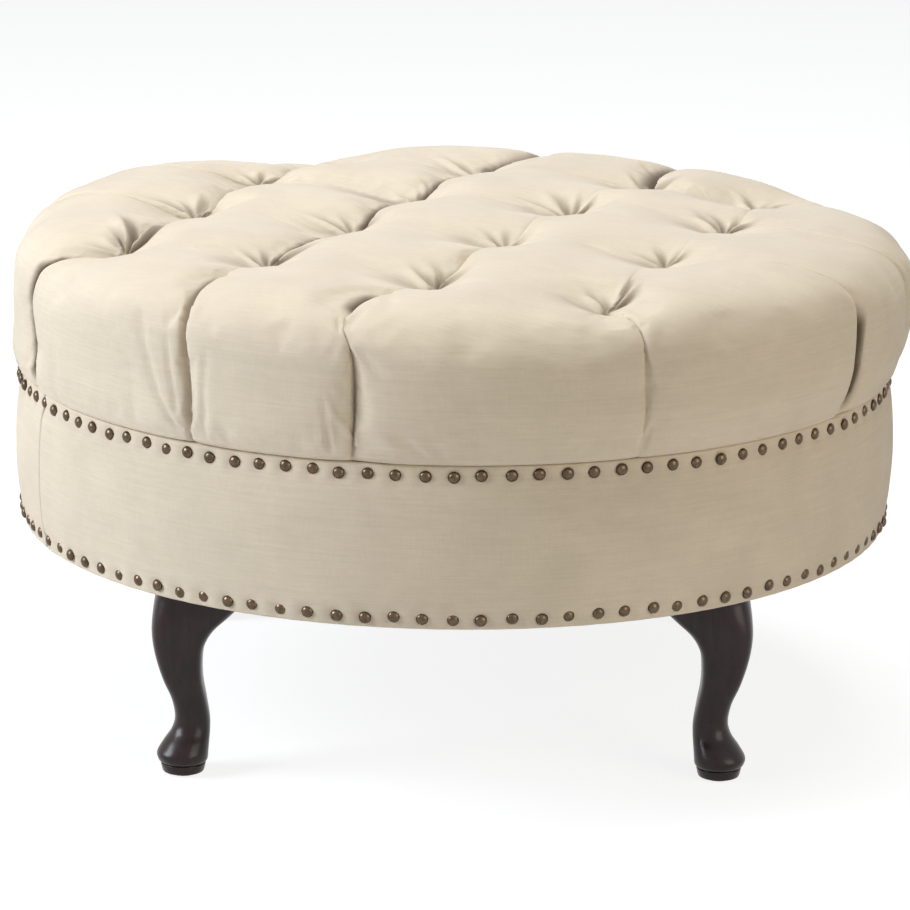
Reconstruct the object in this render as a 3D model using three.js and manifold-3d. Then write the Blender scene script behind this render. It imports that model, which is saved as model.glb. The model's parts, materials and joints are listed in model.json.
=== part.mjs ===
// A round tufted tuffet on four cabriole legs, in millimetres with +Z up.
// The origin is on the floor under the middle of the seat, and -Y is the front.
import * as THREE from 'three';
import * as BufferGeometryUtils from 'three/addons/utils/BufferGeometryUtils.js';
import Module from 'manifold-3d';

const wasm = await Module();
wasm.setup();

// Fit and cloth
const clearance = 0.3;
const clothThickness = 1.5;
const dustClothThickness = 0.8;
const foamEase = 0.5;
const cutOverrun = 2;

// Cushion
const cushionSeamInset = 1;
const cushionFlare = 12;
const cushionHeight = 147;
const cushionWaist = 70;
const cushionTurnIn = 36;
const crownSquareness = 4.3;
const undersideSquareness = 2.5;

// Tufting: a square lattice, turned in plan, with one pleat out of each border tuft
const tuftsPerRow = 4;
const cornerTuftMargin = 86.6;
const tuftTurn = THREE.MathUtils.degToRad(-23);
const tuftDepth = 30;
const tieRadius = 1;
const tieHoleRadius = 3.5;
const knotRadius = 6;
const knotHeight = 3;

// Skirt and drum
const skirtRadius = 415;
const skirtHeight = 149;
const skirtBulge = 6;
const swellShares = [0, 0.16, 0.5, 0.84, 1];
const swellRoundness = 0.7;
const skirtEdgeRadius = 3;
const nailMarginTop = 9.5;
const nailMarginBottom = 10;
const skirtTurnIn = 33;
const wallThickness = 3;
const wallJointGap = 1.5;
const wallJointAngle = THREE.MathUtils.degToRad(202.5);
const battingThickness = 9.6;
const ringThickness = 18;
const topRingWidth = 45;
const bottomRingWidth = 150;
const seatBoardInset = 6;
const seatBoardThickness = 15;
const dustClothInset = 4;
const postCount = 8;
const postWidth = 45;
const postDepth = 30;
const postInset = 4;

// Deck screws
const screwCount = 8;
const screwRadius = 2.2;
const screwHeadRadius = 4.5;
const screwHeadHeight = 3;
const screwGrip = 10;
const screwClothMargin = 11;

// Legs and their fixings
const legHeight = 187;
const legBlock = 88;
const legBoltInset = 79;
const glideRadius = 13;
const glideHeight = 1.8;
const boltRadius = 3.9;
const boltDepthInLeg = 38;
const boltPointHeight = 8;
const boltRise = 4;
const nutWall = 1;
const nutBarrelLength = 12;
const nutFlangeWidth = 7.8;
const nutFlangeHeight = 1.5;

// Facets
const roundSides = 56;
const smallSides = 8;
const tieSides = 6;
const legSides = 16;
const legRings = 20;

// Leg outline, from foot to block: height as a share of the leg height, then how far the
// outer and the inner edge stand from the foot's middle, as shares of the leg block
const legOutlineShares = [
  [0, 0.2, -0.2],
  [0.025, 0.25, -0.24],
  [0.09, 0.272, -0.258],
  [0.15, 0.215, -0.268],
  [0.205, 0.13, -0.275],
  [0.27, 0.095, -0.272],
  [0.37, 0.125, -0.24],
  [0.47, 0.2, -0.208],
  [0.57, 0.262, -0.205],
  [0.66, 0.302, -0.232],
  [0.74, 0.32, -0.33],
  [0.81, 0.315, -0.5],
  [0.87, 0.3, -0.64],
  [0.92, 0.285, -0.72],
  [1, 0.272, -0.728],
];
const footSquareness = 2;
const blockSquareness = 4.2;
const footHeightShare = 0.2;
const kneeHeightShare = 0.5;

// Pillow shape: where a pillow is stepped, how deep the valley between two tufts is, how
// steeply valleys and tufts fall, and how deep the pleat and the border valley are on each row
// from the border tufts to the seam
const pillowStepShares = [0, 0.18, 0.5, 0.82, 1];
const valleyShare = 0.28;
const valleySharpness = 3;
const tuftSharpness = 4;
const borderRowShares = [0.3, 0.7];
const pleatShares = [0.44, 0.3, 0.28, 0.28, 0.27, 0.23, 0.14, 0.04];
const borderValleyShares = [0.06, 0.01, 0, 0, 0, 0, 0, 0];
const sideTurns = [28, 13, 0, -30].map(THREE.MathUtils.degToRad);
const seamTurn = -Math.PI / 2;

// Levels, from the floor up
const footBase = glideHeight + clearance;
const legTop = footBase + legHeight;
const dustClothBase = legTop + clearance;
const skirtBase = dustClothBase + dustClothThickness + clearance;
const skirtTop = skirtBase + skirtHeight;
const bottomRingBase = skirtBase + clothThickness + clearance;
const bottomRingTop = bottomRingBase + ringThickness;
const topRingTop = skirtTop - clothThickness - clearance;
const topRingBase = topRingTop - ringThickness;
const cushionBase = skirtTop + clearance;
const seatBoardBase = cushionBase + clothThickness + clearance;
const foamBase = seatBoardBase + seatBoardThickness + clearance;

// Radii, from the skirt inwards and from the skirt's top up to the cushion
const battingInnerRadius = skirtRadius - clothThickness - clearance - battingThickness;
const wallInnerRadius = battingInnerRadius - clearance - wallThickness;
const ringRadius = wallInnerRadius - clearance;
const dustClothRadius = ringRadius - dustClothInset;
const cushionSeamRadius = skirtRadius - cushionSeamInset;
const cushionRadius = cushionSeamRadius + cushionFlare;
const seatBoardRadius = cushionSeamRadius - seatBoardInset;
const screwCircleRadius = cushionSeamRadius - cushionTurnIn - screwClothMargin;
const nutBarrelRadius = boltRadius + clearance + nutWall;
const nutFlangeRadius = nutBarrelRadius + nutFlangeWidth;

// Colours
const velvet = { color: 0xd9cdb4, roughness: 0.9, metalness: 0 };
const wadding = { color: 0xf1efe8, roughness: 1, metalness: 0 };
const foam = { color: 0xe9dfae, roughness: 1, metalness: 0 };
const plywood = { color: 0xc9a873, roughness: 0.7, metalness: 0 };
const pine = { color: 0xd8b985, roughness: 0.75, metalness: 0 };
const hardboard = { color: 0x8b6a46, roughness: 0.85, metalness: 0 };
const twine = { color: 0xe7e0cf, roughness: 1, metalness: 0 };
const cambric = { color: 0x1c1b1a, roughness: 1, metalness: 0 };
const espresso = { color: 0x2a1a17, roughness: 0.3, metalness: 0 };
const zinc = { color: 0xb6b8ba, roughness: 0.4, metalness: 0.9 };
const nylon = { color: 0x3a3633, roughness: 0.6, metalness: 0 };

const tuffet = new THREE.Group();

function addPiece(parent, name, geometry, finish) {
  const piece = new THREE.Mesh(geometry, new THREE.MeshStandardMaterial(finish));
  piece.name = name;
  parent.add(piece);
  return piece;
}

function indexedGeometry(points, triangles) {
  const geometry = new THREE.BufferGeometry();
  geometry.setAttribute('position', new THREE.Float32BufferAttribute(points.flat(), 3));
  geometry.setIndex(triangles.flat());
  geometry.computeVertexNormals();
  return geometry;
}

// Solids for cutting
function toSolid(geometry) {
  const bare = geometry.clone();
  bare.deleteAttribute('normal');
  bare.deleteAttribute('uv');
  const merged = BufferGeometryUtils.mergeVertices(bare);
  return new wasm.Manifold(new wasm.Mesh({
    numProp: 3,
    vertProperties: new Float32Array(merged.attributes.position.array),
    triVerts: new Uint32Array(merged.index.array),
  }));
}

function toGeometry(solid) {
  const mesh = solid.getMesh();
  const geometry = new THREE.BufferGeometry();
  geometry.setAttribute('position', new THREE.BufferAttribute(mesh.vertProperties.slice(), 3));
  geometry.setIndex(new THREE.BufferAttribute(mesh.triVerts.slice(), 1));
  geometry.computeVertexNormals();
  return geometry;
}

function rod(radius, bottom, top, sides, x, y) {
  const geometry = new THREE.CylinderGeometry(radius, radius, top - bottom, sides);
  geometry.rotateX(Math.PI / 2);
  geometry.translate(x, y, (bottom + top) / 2);
  return geometry;
}

function drilled(geometry, drills) {
  const cut = drills.reduce((solid, drill) => solid.subtract(toSolid(drill)), toSolid(geometry));
  return toGeometry(cut);
}

// Turned pieces: a profile of [radius, height] pairs
function turned(profile, sides) {
  const points = profile.map(([radius, height]) => new THREE.Vector2(radius, height));
  const geometry = new THREE.LatheGeometry(points, sides);
  geometry.rotateX(Math.PI / 2);
  return geometry;
}

function ringProfile(inner, outer, bottom, top) {
  return [[inner, bottom], [outer, bottom], [outer, top], [inner, top], [inner, bottom]];
}

function discProfile(radius, bottom, top) {
  return [[0, bottom], [radius, bottom], [radius, top], [0, top]];
}

// Cushion outline in section. The turn runs from a quarter turn at the crown, past zero at
// the widest part, to minus a quarter turn at the seam.
function outlineAt(turn) {
  const across = Math.max(Math.cos(turn), 0);
  if (turn >= 0) {
    const rise = cushionHeight - cushionWaist;
    return {
      radius: cushionRadius * across ** (2 / crownSquareness),
      height: cushionWaist + rise * Math.sin(turn) ** (2 / crownSquareness),
    };
  }
  const flare = cushionRadius - cushionSeamRadius;
  return {
    radius: cushionSeamRadius + flare * across ** (2 / undersideSquareness),
    height: cushionWaist * (1 - Math.sin(-turn) ** (2 / undersideSquareness)),
  };
}

function crownHeightAt(radius) {
  const left = 1 - (radius / cushionRadius) ** crownSquareness;
  return cushionWaist + (cushionHeight - cushionWaist) * left ** (1 / crownSquareness);
}

function turnAtHeight(height) {
  return -Math.asin((1 - height / cushionWaist) ** (undersideSquareness / 2));
}

// One at the edge of a pillow and zero along its middle
function edgeness(share) {
  return Math.abs(2 * share - 1);
}

function pillowDepth(across, along) {
  const a = edgeness(across);
  const b = edgeness(along);
  const valley = 1 - (1 - a ** valleySharpness) * (1 - b ** valleySharpness);
  const pinch = (a * b) ** tuftSharpness;
  return tuftDepth * (valleyShare * valley + (1 - valleyShare) * pinch);
}

// The corner tufts stand in from the rim, and the others part the lattice evenly
const pillowsPerRow = tuftsPerRow - 1;
const stepsPerPillow = pillowStepShares.length - 1;
const latticeSteps = pillowsPerRow * stepsPerPillow;
const latticeHalf = (cushionRadius - cornerTuftMargin) * Math.SQRT1_2;
const tuftSpacing = 2 * latticeHalf / pillowsPerRow;

function latticeShare(step) {
  const pillow = Math.min(Math.floor(step / stepsPerPillow), pillowsPerRow - 1);
  return { pillow, share: pillowStepShares[step - pillow * stepsPerPillow] };
}

function latticePlace(step) {
  const { pillow, share } = latticeShare(step);
  return (pillow + share) * tuftSpacing - latticeHalf;
}

function latticePoint(column, row) {
  const x = latticePlace(column);
  const y = latticePlace(row);
  const depth = pillowDepth(latticeShare(column).share, latticeShare(row).share);
  return [x, y, crownHeightAt(Math.hypot(x, y)) - depth];
}

// The lattice's border, walked round once: each entry has its column, row and pleat share
function borderWalk() {
  const walk = [];
  const last = latticeSteps;
  for (let side = 0; side < 4; side += 1) {
    for (let step = 0; step < latticeSteps; step += 1) {
      const places = [[step, 0], [last, step], [last - step, last], [0, last - step]];
      walk.push({ column: places[side][0], row: places[side][1], side, step });
    }
  }
  return walk;
}

// The pleat of a border tuft reaches the rim square to its side of the lattice, and the
// pleat of a corner tuft reaches it on the diagonal
function pleatAngle(side, tuft) {
  const start = -Math.PI * 3 / 4 + side * Math.PI / 2;
  if (tuft === 0) return start;
  if (tuft === pillowsPerRow) return start + Math.PI / 2;
  const offset = (tuft - pillowsPerRow / 2) * tuftSpacing;
  return start + Math.PI / 4 + Math.asin(offset / cushionRadius);
}

function rimAngle({ side, step }) {
  const { pillow, share } = latticeShare(step);
  return THREE.MathUtils.lerp(pleatAngle(side, pillow), pleatAngle(side, pillow + 1), share);
}

// A border row: the cushion's outline at one turn, drawn in at the pleats
function outlineRow(walk, turn, rowIndex) {
  const { radius, height } = outlineAt(turn);
  const tilt = turn > 0 ? turn : 0;
  return walk.map((place) => {
    const edge = edgeness(latticeShare(place.step).share) ** valleySharpness;
    const share = pleatShares[rowIndex] * edge + borderValleyShares[rowIndex] * (1 - edge);
    const angle = rimAngle(place);
    const reach = radius - tuftDepth * share * Math.cos(tilt);
    const level = height - tuftDepth * share * Math.sin(tilt);
    return [reach * Math.cos(angle), reach * Math.sin(angle), level];
  });
}

// A border row on the crown, part of the way from the border tufts to the rim
function crownRow(walk, outward, rowIndex) {
  const rim = outlineAt(sideTurns[0]).radius;
  return walk.map((place) => {
    const edge = edgeness(latticeShare(place.step).share) ** valleySharpness;
    const share = pleatShares[rowIndex] * edge + borderValleyShares[rowIndex] * (1 - edge);
    const angle = rimAngle(place);
    const x = THREE.MathUtils.lerp(latticePlace(place.column), rim * Math.cos(angle), outward);
    const y = THREE.MathUtils.lerp(latticePlace(place.row), rim * Math.sin(angle), outward);
    return [x, y, crownHeightAt(Math.hypot(x, y)) - tuftDepth * share];
  });
}

function gridIndex(column, row) {
  return row * (latticeSteps + 1) + column;
}

// The cushion's outer surface: the lattice of pillows, then the border rows down to the seam
function cushionSurface(turns) {
  const walk = borderWalk();
  const points = [];
  const triangles = [];
  for (let row = 0; row <= latticeSteps; row += 1) {
    for (let column = 0; column <= latticeSteps; column += 1) {
      points.push(latticePoint(column, row));
    }
  }
  for (let row = 0; row < latticeSteps; row += 1) {
    for (let column = 0; column < latticeSteps; column += 1) {
      const a = gridIndex(column, row);
      const b = gridIndex(column + 1, row);
      const c = gridIndex(column + 1, row + 1);
      const d = gridIndex(column, row + 1);
      const risesWithRow = (column % stepsPerPillow < 2) === (row % stepsPerPillow < 2);
      triangles.push(...(risesWithRow ? [[a, b, c], [a, c, d]] : [[a, b, d], [b, c, d]]));
    }
  }
  const rows = [
    ...borderRowShares.map((outward, index) => crownRow(walk, outward, index)),
    ...turns.map((turn, index) => outlineRow(walk, turn, index + borderRowShares.length)),
  ];
  let inner = walk.map(({ column, row }) => gridIndex(column, row));
  rows.forEach((row) => {
    const outer = row.map((point) => points.push(point) - 1);
    triangles.push(...band(inner, outer));
    inner = outer;
  });
  return { points, triangles, edge: inner };
}

// Triangles between two closed rows of points, the second outside or below the first
function band(inner, outer) {
  return inner.flatMap((from, index) => {
    const next = (index + 1) % inner.length;
    return [[from, outer[index], outer[next]], [from, outer[next], inner[next]]];
  });
}

// The same surface moved inward along its own normals
function movedInward(surface, distance) {
  const normals = indexedGeometry(surface.points, surface.triangles).attributes.normal;
  return surface.points.map(([x, y, z], index) => [
    x - normals.getX(index) * distance,
    y - normals.getY(index) * distance,
    z - normals.getZ(index) * distance,
  ]);
}

function scaledInPlan([x, y], radius, height) {
  const length = Math.hypot(x, y);
  return [x * radius / length, y * radius / length, height];
}

function flipped(triangles) {
  return triangles.map(([a, b, c]) => [a, c, b]);
}

// The cover is a shell: drawn over the foam and turned in under the seat board
function cushionCover() {
  const boardTurn = turnAtHeight(foamBase - cushionBase);
  const surface = cushionSurface([...sideTurns, boardTurn, seamTurn]);
  const count = surface.points.length;
  const inside = movedInward(surface, clothThickness);
  surface.edge.forEach((index) => {
    const point = surface.points[index];
    const radius = Math.hypot(point[0], point[1]) - clothThickness;
    inside[index] = scaledInPlan(point, radius, clothThickness);
  });
  const points = [...surface.points, ...inside];
  const triangles = [
    ...surface.triangles,
    ...flipped(surface.triangles).map((triangle) => triangle.map((index) => index + count)),
  ];
  const turnInRadius = cushionSeamRadius - cushionTurnIn;
  const lower = surface.edge.map((index) => (
    points.push(scaledInPlan(surface.points[index], turnInRadius, 0)) - 1));
  const upper = surface.edge.map((index) => (
    points.push(scaledInPlan(surface.points[index], turnInRadius, clothThickness)) - 1));
  const insideEdge = surface.edge.map((index) => index + count);
  triangles.push(...band(surface.edge, lower), ...band(lower, upper), ...band(upper, insideEdge));
  return indexedGeometry(points, triangles).translate(0, 0, cushionBase);
}

// The foam fills the cover down to the seat board, with a hole for each tie
function cushionFoam() {
  const base = foamBase - cushionBase;
  const surface = cushionSurface([...sideTurns, turnAtHeight(base)]);
  const inset = clothThickness + foamEase;
  const points = movedInward(surface, inset);
  surface.edge.forEach((index) => {
    const point = surface.points[index];
    points[index] = scaledInPlan(point, Math.hypot(point[0], point[1]) - inset, base);
  });
  const middle = points.push([0, 0, base]) - 1;
  const bottom = surface.edge.map((index, place) => (
    [middle, surface.edge[(place + 1) % surface.edge.length], index]));
  const block = indexedGeometry(points, [...surface.triangles, ...bottom]);
  const holes = tuftPlaces().map(([x, y]) => (
    rod(tieHoleRadius, base - cutOverrun, cushionHeight, tieSides, x, y)));
  return drilled(block, holes).translate(0, 0, cushionBase);
}

// Tuft places in the cushion's own turned frame
function tuftPlaces() {
  const places = [];
  for (let row = 0; row < tuftsPerRow; row += 1) {
    for (let column = 0; column < tuftsPerRow; column += 1) {
      places.push([column * tuftSpacing - latticeHalf, row * tuftSpacing - latticeHalf]);
    }
  }
  return places;
}

// A tie runs from a tuft through foam and board, and is knotted under the board
function tuftTie([x, y]) {
  const knotTop = seatBoardBase - clearance;
  const tuft = cushionBase + crownHeightAt(Math.hypot(x, y)) - tuftDepth;
  const top = tuft - clothThickness - clearance;
  return turned([
    [0, knotTop - knotHeight],
    [knotRadius, knotTop - knotHeight],
    [knotRadius, knotTop],
    [tieRadius, knotTop],
    [tieRadius, top],
    [0, top],
  ], tieSides);
}

function seatBoard() {
  const top = seatBoardBase + seatBoardThickness;
  const board = turned(discProfile(seatBoardRadius, seatBoardBase, top), roundSides);
  const tieHoles = tuftPlaces().map(([x, y]) => (
    rod(tieHoleRadius, seatBoardBase - cutOverrun, top + cutOverrun, tieSides, x, y)));
  tieHoles.forEach((hole) => hole.rotateZ(tuftTurn));
  const screwHoles = screwPlaces().map(([x, y]) => rod(
    screwRadius + clearance,
    seatBoardBase - cutOverrun,
    seatBoardBase + screwGrip + clearance,
    smallSides,
    x,
    y,
  ));
  return drilled(board, [...tieHoles, ...screwHoles]);
}

function screwPlaces() {
  return circlePlaces(screwCount, screwCircleRadius, 0);
}

function circlePlaces(count, radius, startAngle) {
  return Array.from({ length: count }, (_, index) => {
    const angle = startAngle + index * 2 * Math.PI / count;
    return [radius * Math.cos(angle), radius * Math.sin(angle), angle];
  });
}

// Drum
function topRing() {
  const ring = turned(
    ringProfile(ringRadius - topRingWidth, ringRadius, topRingBase, topRingTop),
    roundSides,
  );
  const holes = screwPlaces().map(([x, y]) => rod(
    screwRadius + clearance,
    topRingBase - cutOverrun,
    topRingTop + cutOverrun,
    smallSides,
    x,
    y,
  ));
  return drilled(ring, holes);
}

function bottomRing() {
  const ring = turned(
    ringProfile(ringRadius - bottomRingWidth, ringRadius, bottomRingBase, bottomRingTop),
    roundSides,
  );
  const holes = boltPlaces().map(([x, y]) => rod(
    nutBarrelRadius + clearance,
    bottomRingBase - cutOverrun,
    bottomRingTop + cutOverrun,
    smallSides,
    x,
    y,
  ));
  return drilled(ring, holes);
}

function post() {
  const height = topRingBase - bottomRingTop - 2 * clearance;
  const block = new THREE.BoxGeometry(postDepth, postWidth, height);
  return block.translate(0, 0, bottomRingTop + clearance + height / 2);
}

// The wall is one bent sheet, so it has a joint. The joint is on a facet's edge, which keeps
// the wall's facets in line with those of the rings and the batting: an arc of a shape is
// drawn in twice as many steps as the curve segments say.
function drumWall() {
  const facet = 2 * Math.PI / roundSides;
  const outer = wallInnerRadius + wallThickness;
  const halfGap = wallJointGap / 2 / outer;
  const section = new THREE.Shape();
  section.absarc(0, 0, outer, halfGap, 2 * Math.PI - halfGap, false);
  section.absarc(0, 0, wallInnerRadius, 2 * Math.PI - halfGap, halfGap, true);
  section.closePath();
  const wall = new THREE.ExtrudeGeometry(section, {
    depth: topRingTop - bottomRingBase,
    bevelEnabled: false,
    curveSegments: roundSides / 2,
  });
  const jointAngle = Math.round(wallJointAngle / facet) * facet;
  return wall.rotateZ(jointAngle).translate(0, 0, bottomRingBase);
}

// Skirt outline: drawn in at both nail rows and swelling between them
function skirtOutline(inset) {
  const low = nailMarginBottom;
  const high = skirtHeight - nailMarginTop;
  return swellShares.map((share) => {
    const out = skirtBulge * Math.sin(Math.PI * share) ** swellRoundness;
    return [skirtRadius + out - inset, skirtBase + THREE.MathUtils.lerp(low, high, share)];
  });
}

function skirtCover() {
  const turnInRadius = skirtRadius - skirtTurnIn;
  const edge = skirtRadius - skirtEdgeRadius;
  const innerBase = skirtBase + clothThickness;
  const innerTop = skirtTop - clothThickness;
  return turned([
    [turnInRadius, skirtBase],
    [edge, skirtBase],
    [skirtRadius, skirtBase + skirtEdgeRadius],
    ...skirtOutline(0),
    [skirtRadius, skirtTop - skirtEdgeRadius / 2],
    [skirtRadius - skirtEdgeRadius / 2, skirtTop],
    [turnInRadius, skirtTop],
    [turnInRadius, innerTop],
    [skirtRadius - clothThickness, innerTop],
    ...skirtOutline(clothThickness).reverse(),
    [skirtRadius - clothThickness, innerBase + skirtEdgeRadius],
    [edge - clothThickness, innerBase],
    [turnInRadius, innerBase],
    [turnInRadius, skirtBase],
  ], roundSides);
}

function skirtBatting() {
  const inset = clothThickness + clearance;
  const edge = skirtRadius - inset;
  return turned([
    [battingInnerRadius, bottomRingBase],
    [edge - skirtEdgeRadius, bottomRingBase],
    [edge, bottomRingBase + skirtEdgeRadius],
    ...skirtOutline(inset),
    [edge, topRingTop],
    [battingInnerRadius, topRingTop],
    [battingInnerRadius, bottomRingBase],
  ], roundSides);
}

function dustCloth() {
  const top = dustClothBase + dustClothThickness;
  const cloth = turned(discProfile(dustClothRadius, dustClothBase, top), roundSides);
  const holes = boltPlaces().map(([x, y]) => rod(
    boltRadius + clearance,
    dustClothBase - cutOverrun,
    top + cutOverrun,
    smallSides,
    x,
    y,
  ));
  return drilled(cloth, holes);
}

// Legs: each bolt is in the middle of its leg's block, and is set in from the bottom ring's
// rim, and the foot stands out from it
const blockOuterShare = legOutlineShares.at(-1)[1];
const blockInnerShare = legOutlineShares.at(-1)[2];
const boltOffset = legBlock * (blockOuterShare + blockInnerShare) / 2;
const boltCircleRadius = ringRadius - legBoltInset;
const footSpread = boltCircleRadius * Math.SQRT1_2 - boltOffset;

function boltPlaces() {
  return circlePlaces(4, boltCircleRadius, Math.PI / 4);
}

function legSection(outer, inner, squareness) {
  const middle = (outer + inner) / 2;
  const half = (outer - inner) / 2;
  return Array.from({ length: legSides }, (_, index) => {
    const angle = (index + 0.5) * 2 * Math.PI / legSides;
    const x = Math.sign(Math.cos(angle)) * Math.abs(Math.cos(angle)) ** (2 / squareness);
    const y = Math.sign(Math.sin(angle)) * Math.abs(Math.sin(angle)) ** (2 / squareness);
    return [middle + half * x, middle + half * y];
  });
}

// A cabriole leg: square sections at the block and knee, round ones at the foot
function leg() {
  const outline = new THREE.CatmullRomCurve3(legOutlineShares.map(([height, outer, inner]) => (
    new THREE.Vector3(outer * legBlock, inner * legBlock, height * legHeight))));
  const points = [];
  const triangles = [];
  let below = null;
  for (let ring = 0; ring <= legRings; ring += 1) {
    const at = outline.getPoint(ring / legRings);
    const blend = THREE.MathUtils.smoothstep(
      at.z,
      footHeightShare * legHeight,
      kneeHeightShare * legHeight,
    );
    const squareness = THREE.MathUtils.lerp(footSquareness, blockSquareness, blend);
    const row = legSection(at.x, at.y, squareness).map(([x, y]) => points.push([x, y, at.z]) - 1);
    if (below) triangles.push(...band(row, below));
    below = row;
  }
  const bottomRow = below.map((_, index) => index);
  const bottom = points.push([0, 0, 0]) - 1;
  const top = points.push([boltOffset, boltOffset, legHeight]) - 1;
  bottomRow.forEach((index, place) => {
    const next = (place + 1) % legSides;
    triangles.push([bottom, bottomRow[next], index], [top, below[place], below[next]]);
  });
  const hole = rod(
    boltRadius + clearance,
    legHeight - boltDepthInLeg - clearance,
    legHeight + cutOverrun,
    smallSides,
    boltOffset,
    boltOffset,
  );
  return drilled(indexedGeometry(points, triangles), [hole]);
}

function hangerBolt() {
  const tip = legTop - boltDepthInLeg;
  const end = bottomRingTop + nutFlangeHeight + boltRise;
  return turned([
    [0, tip],
    [boltRadius, tip + boltPointHeight],
    [boltRadius, end],
    [0, end],
  ], smallSides);
}

function legNut() {
  const bore = boltRadius + clearance;
  const seat = bottomRingTop + clearance;
  return turned([
    [bore, bottomRingTop - nutBarrelLength],
    [nutBarrelRadius, bottomRingTop - nutBarrelLength],
    [nutBarrelRadius, seat],
    [nutFlangeRadius, seat],
    [nutFlangeRadius, seat + nutFlangeHeight],
    [bore, seat + nutFlangeHeight],
    [bore, bottomRingTop - nutBarrelLength],
  ], smallSides);
}

function glide() {
  return turned(discProfile(glideRadius, 0, glideHeight), legSides);
}

function deckScrew() {
  const head = topRingBase - clearance;
  const tip = seatBoardBase + screwGrip;
  return turned([
    [0, head - screwHeadHeight],
    [screwHeadRadius, head - screwHeadHeight],
    [screwHeadRadius, head],
    [screwRadius, head],
    [screwRadius, tip],
    [0, tip],
  ], smallSides);
}

// Assembly
const cushionFrame = new THREE.Group();
cushionFrame.rotation.z = tuftTurn;
tuffet.add(cushionFrame);
addPiece(cushionFrame, 'cushion_cover', cushionCover(), velvet);
addPiece(cushionFrame, 'cushion_foam', cushionFoam(), foam);
tuftPlaces().forEach((place, index) => {
  const tie = addPiece(cushionFrame, `tuft_tie_${index + 1}`, tuftTie(place), twine);
  tie.position.set(place[0], place[1], 0);
});

addPiece(tuffet, 'seat_board', seatBoard(), plywood);
screwPlaces().forEach(([x, y], index) => {
  const screw = addPiece(tuffet, `deck_screw_${index + 1}`, deckScrew(), zinc);
  screw.position.set(x, y, 0);
});
addPiece(tuffet, 'top_ring', topRing(), plywood);
addPiece(tuffet, 'bottom_ring', bottomRing(), plywood);
const postCircle = ringRadius - postInset - postDepth / 2;
circlePlaces(postCount, postCircle, Math.PI / postCount).forEach(([x, y, angle], index) => {
  const upright = addPiece(tuffet, `post_${index + 1}`, post(), pine);
  upright.position.set(x, y, 0);
  upright.rotation.z = angle;
});
addPiece(tuffet, 'drum_wall', drumWall(), hardboard);
addPiece(tuffet, 'skirt_batting', skirtBatting(), wadding);
addPiece(tuffet, 'skirt_cover', skirtCover(), velvet);
addPiece(tuffet, 'dust_cloth', dustCloth(), cambric);

['back_right', 'back_left', 'front_left', 'front_right'].forEach((corner, index) => {
  const place = new THREE.Group();
  place.rotation.z = index * Math.PI / 2;
  tuffet.add(place);
  const foot = addPiece(place, `leg_${corner}`, leg(), espresso);
  foot.position.set(footSpread, footSpread, footBase);
  const pad = addPiece(place, `glide_${corner}`, glide(), nylon);
  pad.position.set(footSpread, footSpread, 0);
  const bolt = addPiece(place, `hanger_bolt_${corner}`, hangerBolt(), zinc);
  bolt.position.set(footSpread + boltOffset, footSpread + boltOffset, 0);
  const nut = addPiece(place, `leg_nut_${corner}`, legNut(), zinc);
  nut.position.set(footSpread + boltOffset, footSpread + boltOffset, 0);
});

export default tuffet;
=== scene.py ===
import json
import math

import bpy
import numpy as np
from bpy.props import FloatProperty, FloatVectorProperty, IntProperty, PointerProperty
from mathutils import Matrix, Vector
from mathutils.geometry import delaunay_2d_cdt


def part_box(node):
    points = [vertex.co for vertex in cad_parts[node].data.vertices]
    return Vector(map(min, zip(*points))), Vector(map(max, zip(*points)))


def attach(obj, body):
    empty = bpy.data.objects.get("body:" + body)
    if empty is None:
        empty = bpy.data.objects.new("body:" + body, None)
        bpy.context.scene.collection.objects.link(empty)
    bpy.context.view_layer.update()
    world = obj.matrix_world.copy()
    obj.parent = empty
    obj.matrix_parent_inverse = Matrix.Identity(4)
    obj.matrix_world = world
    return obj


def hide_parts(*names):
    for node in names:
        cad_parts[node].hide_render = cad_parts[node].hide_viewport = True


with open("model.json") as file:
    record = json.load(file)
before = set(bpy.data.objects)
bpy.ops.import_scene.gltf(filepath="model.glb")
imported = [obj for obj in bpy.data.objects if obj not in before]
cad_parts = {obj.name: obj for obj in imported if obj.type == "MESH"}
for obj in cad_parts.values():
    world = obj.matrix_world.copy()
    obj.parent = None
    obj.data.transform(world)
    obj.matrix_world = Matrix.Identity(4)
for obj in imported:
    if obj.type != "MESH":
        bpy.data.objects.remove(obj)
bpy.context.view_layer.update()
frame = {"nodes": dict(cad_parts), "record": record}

bl_info = {
    "name": "Tufted Tuffet",
    "version": (1, 0, 0),
    "blender": (4, 5, 0),
    "location": "View3D > Sidebar > Tuffet",
    "description": "Dresses a round tufted tuffet: cushion, skirt, nails, legs and underside",
    "category": "Object",
}

BODY = "root"

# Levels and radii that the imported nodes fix
SEAT_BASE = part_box("cushion_cover")[0].z
SKIRT_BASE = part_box("skirt_cover")[0].z
SKIRT_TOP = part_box("skirt_cover")[1].z
DUST_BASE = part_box("dust_cloth")[0].z
DUST_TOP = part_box("dust_cloth")[1].z
DUST_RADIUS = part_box("dust_cloth")[1].x
LEG_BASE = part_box("leg_front_right")[0].z
LEG_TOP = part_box("leg_front_right")[1].z
FOOT_SPREAD = (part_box("glide_front_right")[0].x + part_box("glide_front_right")[1].x) / 2

CORNERS = ["back_right", "back_left", "front_left", "front_right"]


# Settings

def length(name, text, default, low=0.0, high=2.0):
    return FloatProperty(
        name=name, description=text, default=default, min=low, max=high,
        subtype="DISTANCE", unit="LENGTH", precision=4,
    )


def colour(name, text, default):
    return FloatVectorProperty(
        name=name, description=text, default=default, size=3, min=0, max=1, subtype="COLOR",
    )


def share(name, text, default, low=0.0, high=1.0):
    return FloatProperty(name=name, description=text, default=default, min=low, max=high)


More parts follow.
